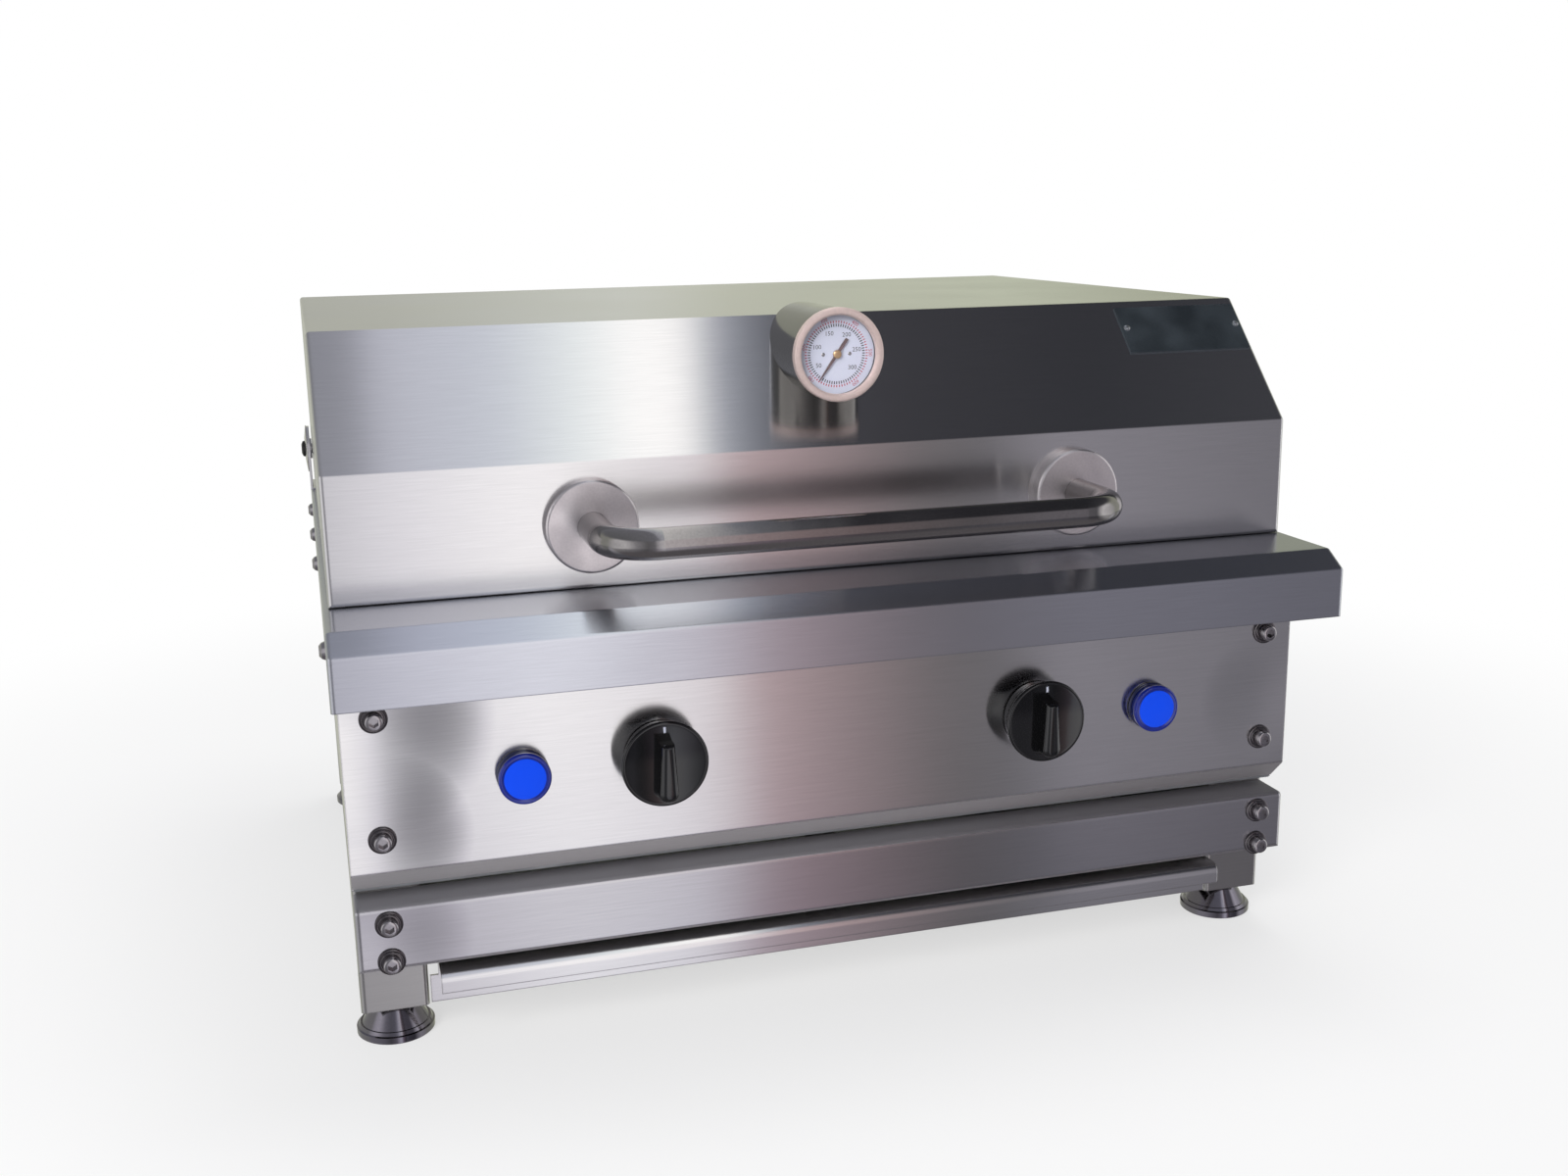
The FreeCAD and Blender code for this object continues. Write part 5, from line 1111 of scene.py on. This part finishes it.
BACK_ROOM = Surround((
    (-1.0, "A2A4A0"), (-0.3, "A2A49A"), (0.05, "A4A59B"), (0.19, "B4B6AD"), (0.25, "AFB1A2"),
    (0.4, "B0B4A2"), (0.5, "9EA18F"), (1.0, "A4A6A0")))


# The part of a ray's direction, downward, backward or upward, over which one side of the
# room passes into the next.
LOW_ZONE = (-0.33, -0.43)
BACK_ZONE = (-0.15, 0.15)
CEILING_ZONE = (0.42, 0.62)
GROUND_ZONE = (-0.5, -0.8)
GROUND_TONE = "6A686C"


@dataclass(frozen=True)
class Studio:
    """A pale floor, a soft key lamp on the left and the room that the steel reflects."""

    floor_size: float = 12.0
    floor_drop: float = 0.2 * MM
    floor_tone: str = "F0EFEE"
    shadow_near: float = 0.45
    shadow_far: float = 1.1
    shadow_white: float = 0.6
    room_strength: float = 1.42
    ambient_tone: str = "C9CCD2"
    ambient_strength: float = 0.55

    def floor(self) -> None:
        """Lay the floor, white to the camera away from the object's shadow."""
        bpy.ops.mesh.primitive_plane_add(size=self.floor_size,
                                         location=(0.0, 0.0, -self.floor_drop))
        item = bpy.context.active_object
        item.name = "studio_floor"
        material, tree = new_material("pale_floor")
        place = add_node(tree, "TexCoord").outputs
        reach = add_node(tree, "VectorMath", {0: place["Object"]}, operation="LENGTH")
        far = add_node(tree, "MapRange", {"Value": reach.outputs["Value"],
                                          "From Min": self.shadow_near,
                                          "From Max": self.shadow_far,
                                          "To Min": self.shadow_white, "To Max": 1.0},
                       interpolation_type="SMOOTHSTEP")
        rays = add_node(tree, "LightPath").outputs
        seen = add_node(tree, "Math", {0: far.outputs[0], 1: rays["Is Camera Ray"]},
                        operation="MULTIPLY")
        matt = add_node(tree, "BsdfDiffuse", {"Color": linear(self.floor_tone)})
        white = add_node(tree, "Emission", {"Color": linear("FFFFFF"), "Strength": 1.0})
        both = add_node(tree, "MixShader", {0: seen.outputs[0], 1: matt.outputs[0],
                                            2: white.outputs[0]})
        add_node(tree, "OutputMaterial", {"Surface": both.outputs[0]})
        item.data.materials.append(material)
        item.visible_glossy = False

    def mirrored_room(self, tree: bpy.types.NodeTree) -> bpy.types.NodeSocket:
        """Join the room's sides, ceiling and floor into what the steel reflects.

        Args:
            tree: the world's node tree.

        Returns:
            The colour socket.
        """
        ray = add_node(tree, "TexCoord").outputs["Generated"]
        parts = add_node(tree, "SeparateXYZ", {0: ray}).outputs
        whole = FRONT_ROOM.build(tree, parts["X"])
        for axis, (start, end), tones in (
                ("Z", LOW_ZONE, LOW_ROOM.build(tree, parts["X"])),
                ("Y", BACK_ZONE, BACK_ROOM.build(tree, parts["X"])),
                ("Z", CEILING_ZONE, CEILING.build(tree, parts["X"])),
                ("Z", GROUND_ZONE, linear(GROUND_TONE))):
            share = add_node(tree, "MapRange", {"Value": parts[axis], "From Min": start,
                                                "From Max": end},
                             interpolation_type="SMOOTHSTEP")
            whole = add_node(tree, "Mix", {0: share.outputs[0], 6: whole, 7: tones},
                             data_type="RGBA").outputs[2]
        return whole

    def room(self) -> None:
        """Light the scene from all round, and give the steel a room to reflect."""
        world = bpy.data.worlds.new("studio_room")
        bpy.context.scene.world = world
        world.use_nodes = True
        tree = world.node_tree
        tree.nodes.clear()
        rays = add_node(tree, "LightPath").outputs
        mirrored = add_node(tree, "Math", {0: rays["Is Glossy Ray"],
                                           1: rays["Is Transmission Ray"]}, operation="MAXIMUM")
        ambient = add_node(tree, "Background", {"Color": linear(self.ambient_tone),
                                              "Strength": self.ambient_strength})
        reflected = add_node(tree, "Background", {"Color": self.mirrored_room(tree),
                                                  "Strength": self.room_strength})
        backdrop = add_node(tree, "Background", {"Color": linear("FFFFFF"), "Strength": 1.0})
        lit = add_node(tree, "MixShader", {0: mirrored.outputs[0], 1: ambient.outputs[0],
                                           2: reflected.outputs[0]})
        shown = add_node(tree, "MixShader", {0: rays["Is Camera Ray"], 1: lit.outputs[0],
                                             2: backdrop.outputs[0]})
        add_node(tree, "OutputWorld", {"Surface": shown.outputs[0]})

    def lamp(self, name: str, place: tuple[float, float, float],
             aim: tuple[float, float, float], size: tuple[float, float],
             power: float) -> None:
        """Hang a white soft box.

        Args:
            name: its name.
            place: where it hangs.
            aim: the point it faces.
            size: its width and height.
            power: in watts.
        """
        light = bpy.data.lights.new(name, "AREA")
        light.shape = "RECTANGLE"
        light.size, light.size_y = size
        light.energy = power
        item = bpy.data.objects.new(name, light)
        item.location = place
        item.rotation_mode = "QUATERNION"
        item.rotation_quaternion = (Vector(aim) - Vector(place)).to_track_quat("-Z", "Y")
        item.visible_glossy = False
        bpy.context.collection.objects.link(item)

    def build(self) -> None:
        """Set up the floor, the room and the lamps."""
        self.floor()
        self.room()
        self.lamp("key_softbox", (-1.5, -1.9, 1.5), (0.0, 0.0, 0.15), (1.2, 1.2), 45.0)
        self.lamp("top_softbox", (0.3, 0.2, 2.2), (0.0, 0.0, 0.3), (1.4, 1.0), 22.0)
        bpy.context.scene.view_settings.view_transform = "Standard"


def main() -> None:
    """Build the looks in order."""
    logging.basicConfig(level=logging.INFO, format="%(message)s")
    shelf = FinishShelf()
    dress_cad_nodes(shelf)
    for side in ("left", "right"):
        Knob(side).build(shelf)
        PilotLamp(side).build(shelf)
        RunnerWeb(side).build(shelf)
    LidThermometer().build(shelf)
    CapScrews("panel_screws", PANEL_FACE).build(shelf)
    CapScrews("rail_screws", RAIL_FACE).build(shelf)
    Viewpoint().build()
    Studio().build()


if __name__ == "__main__":
    main()
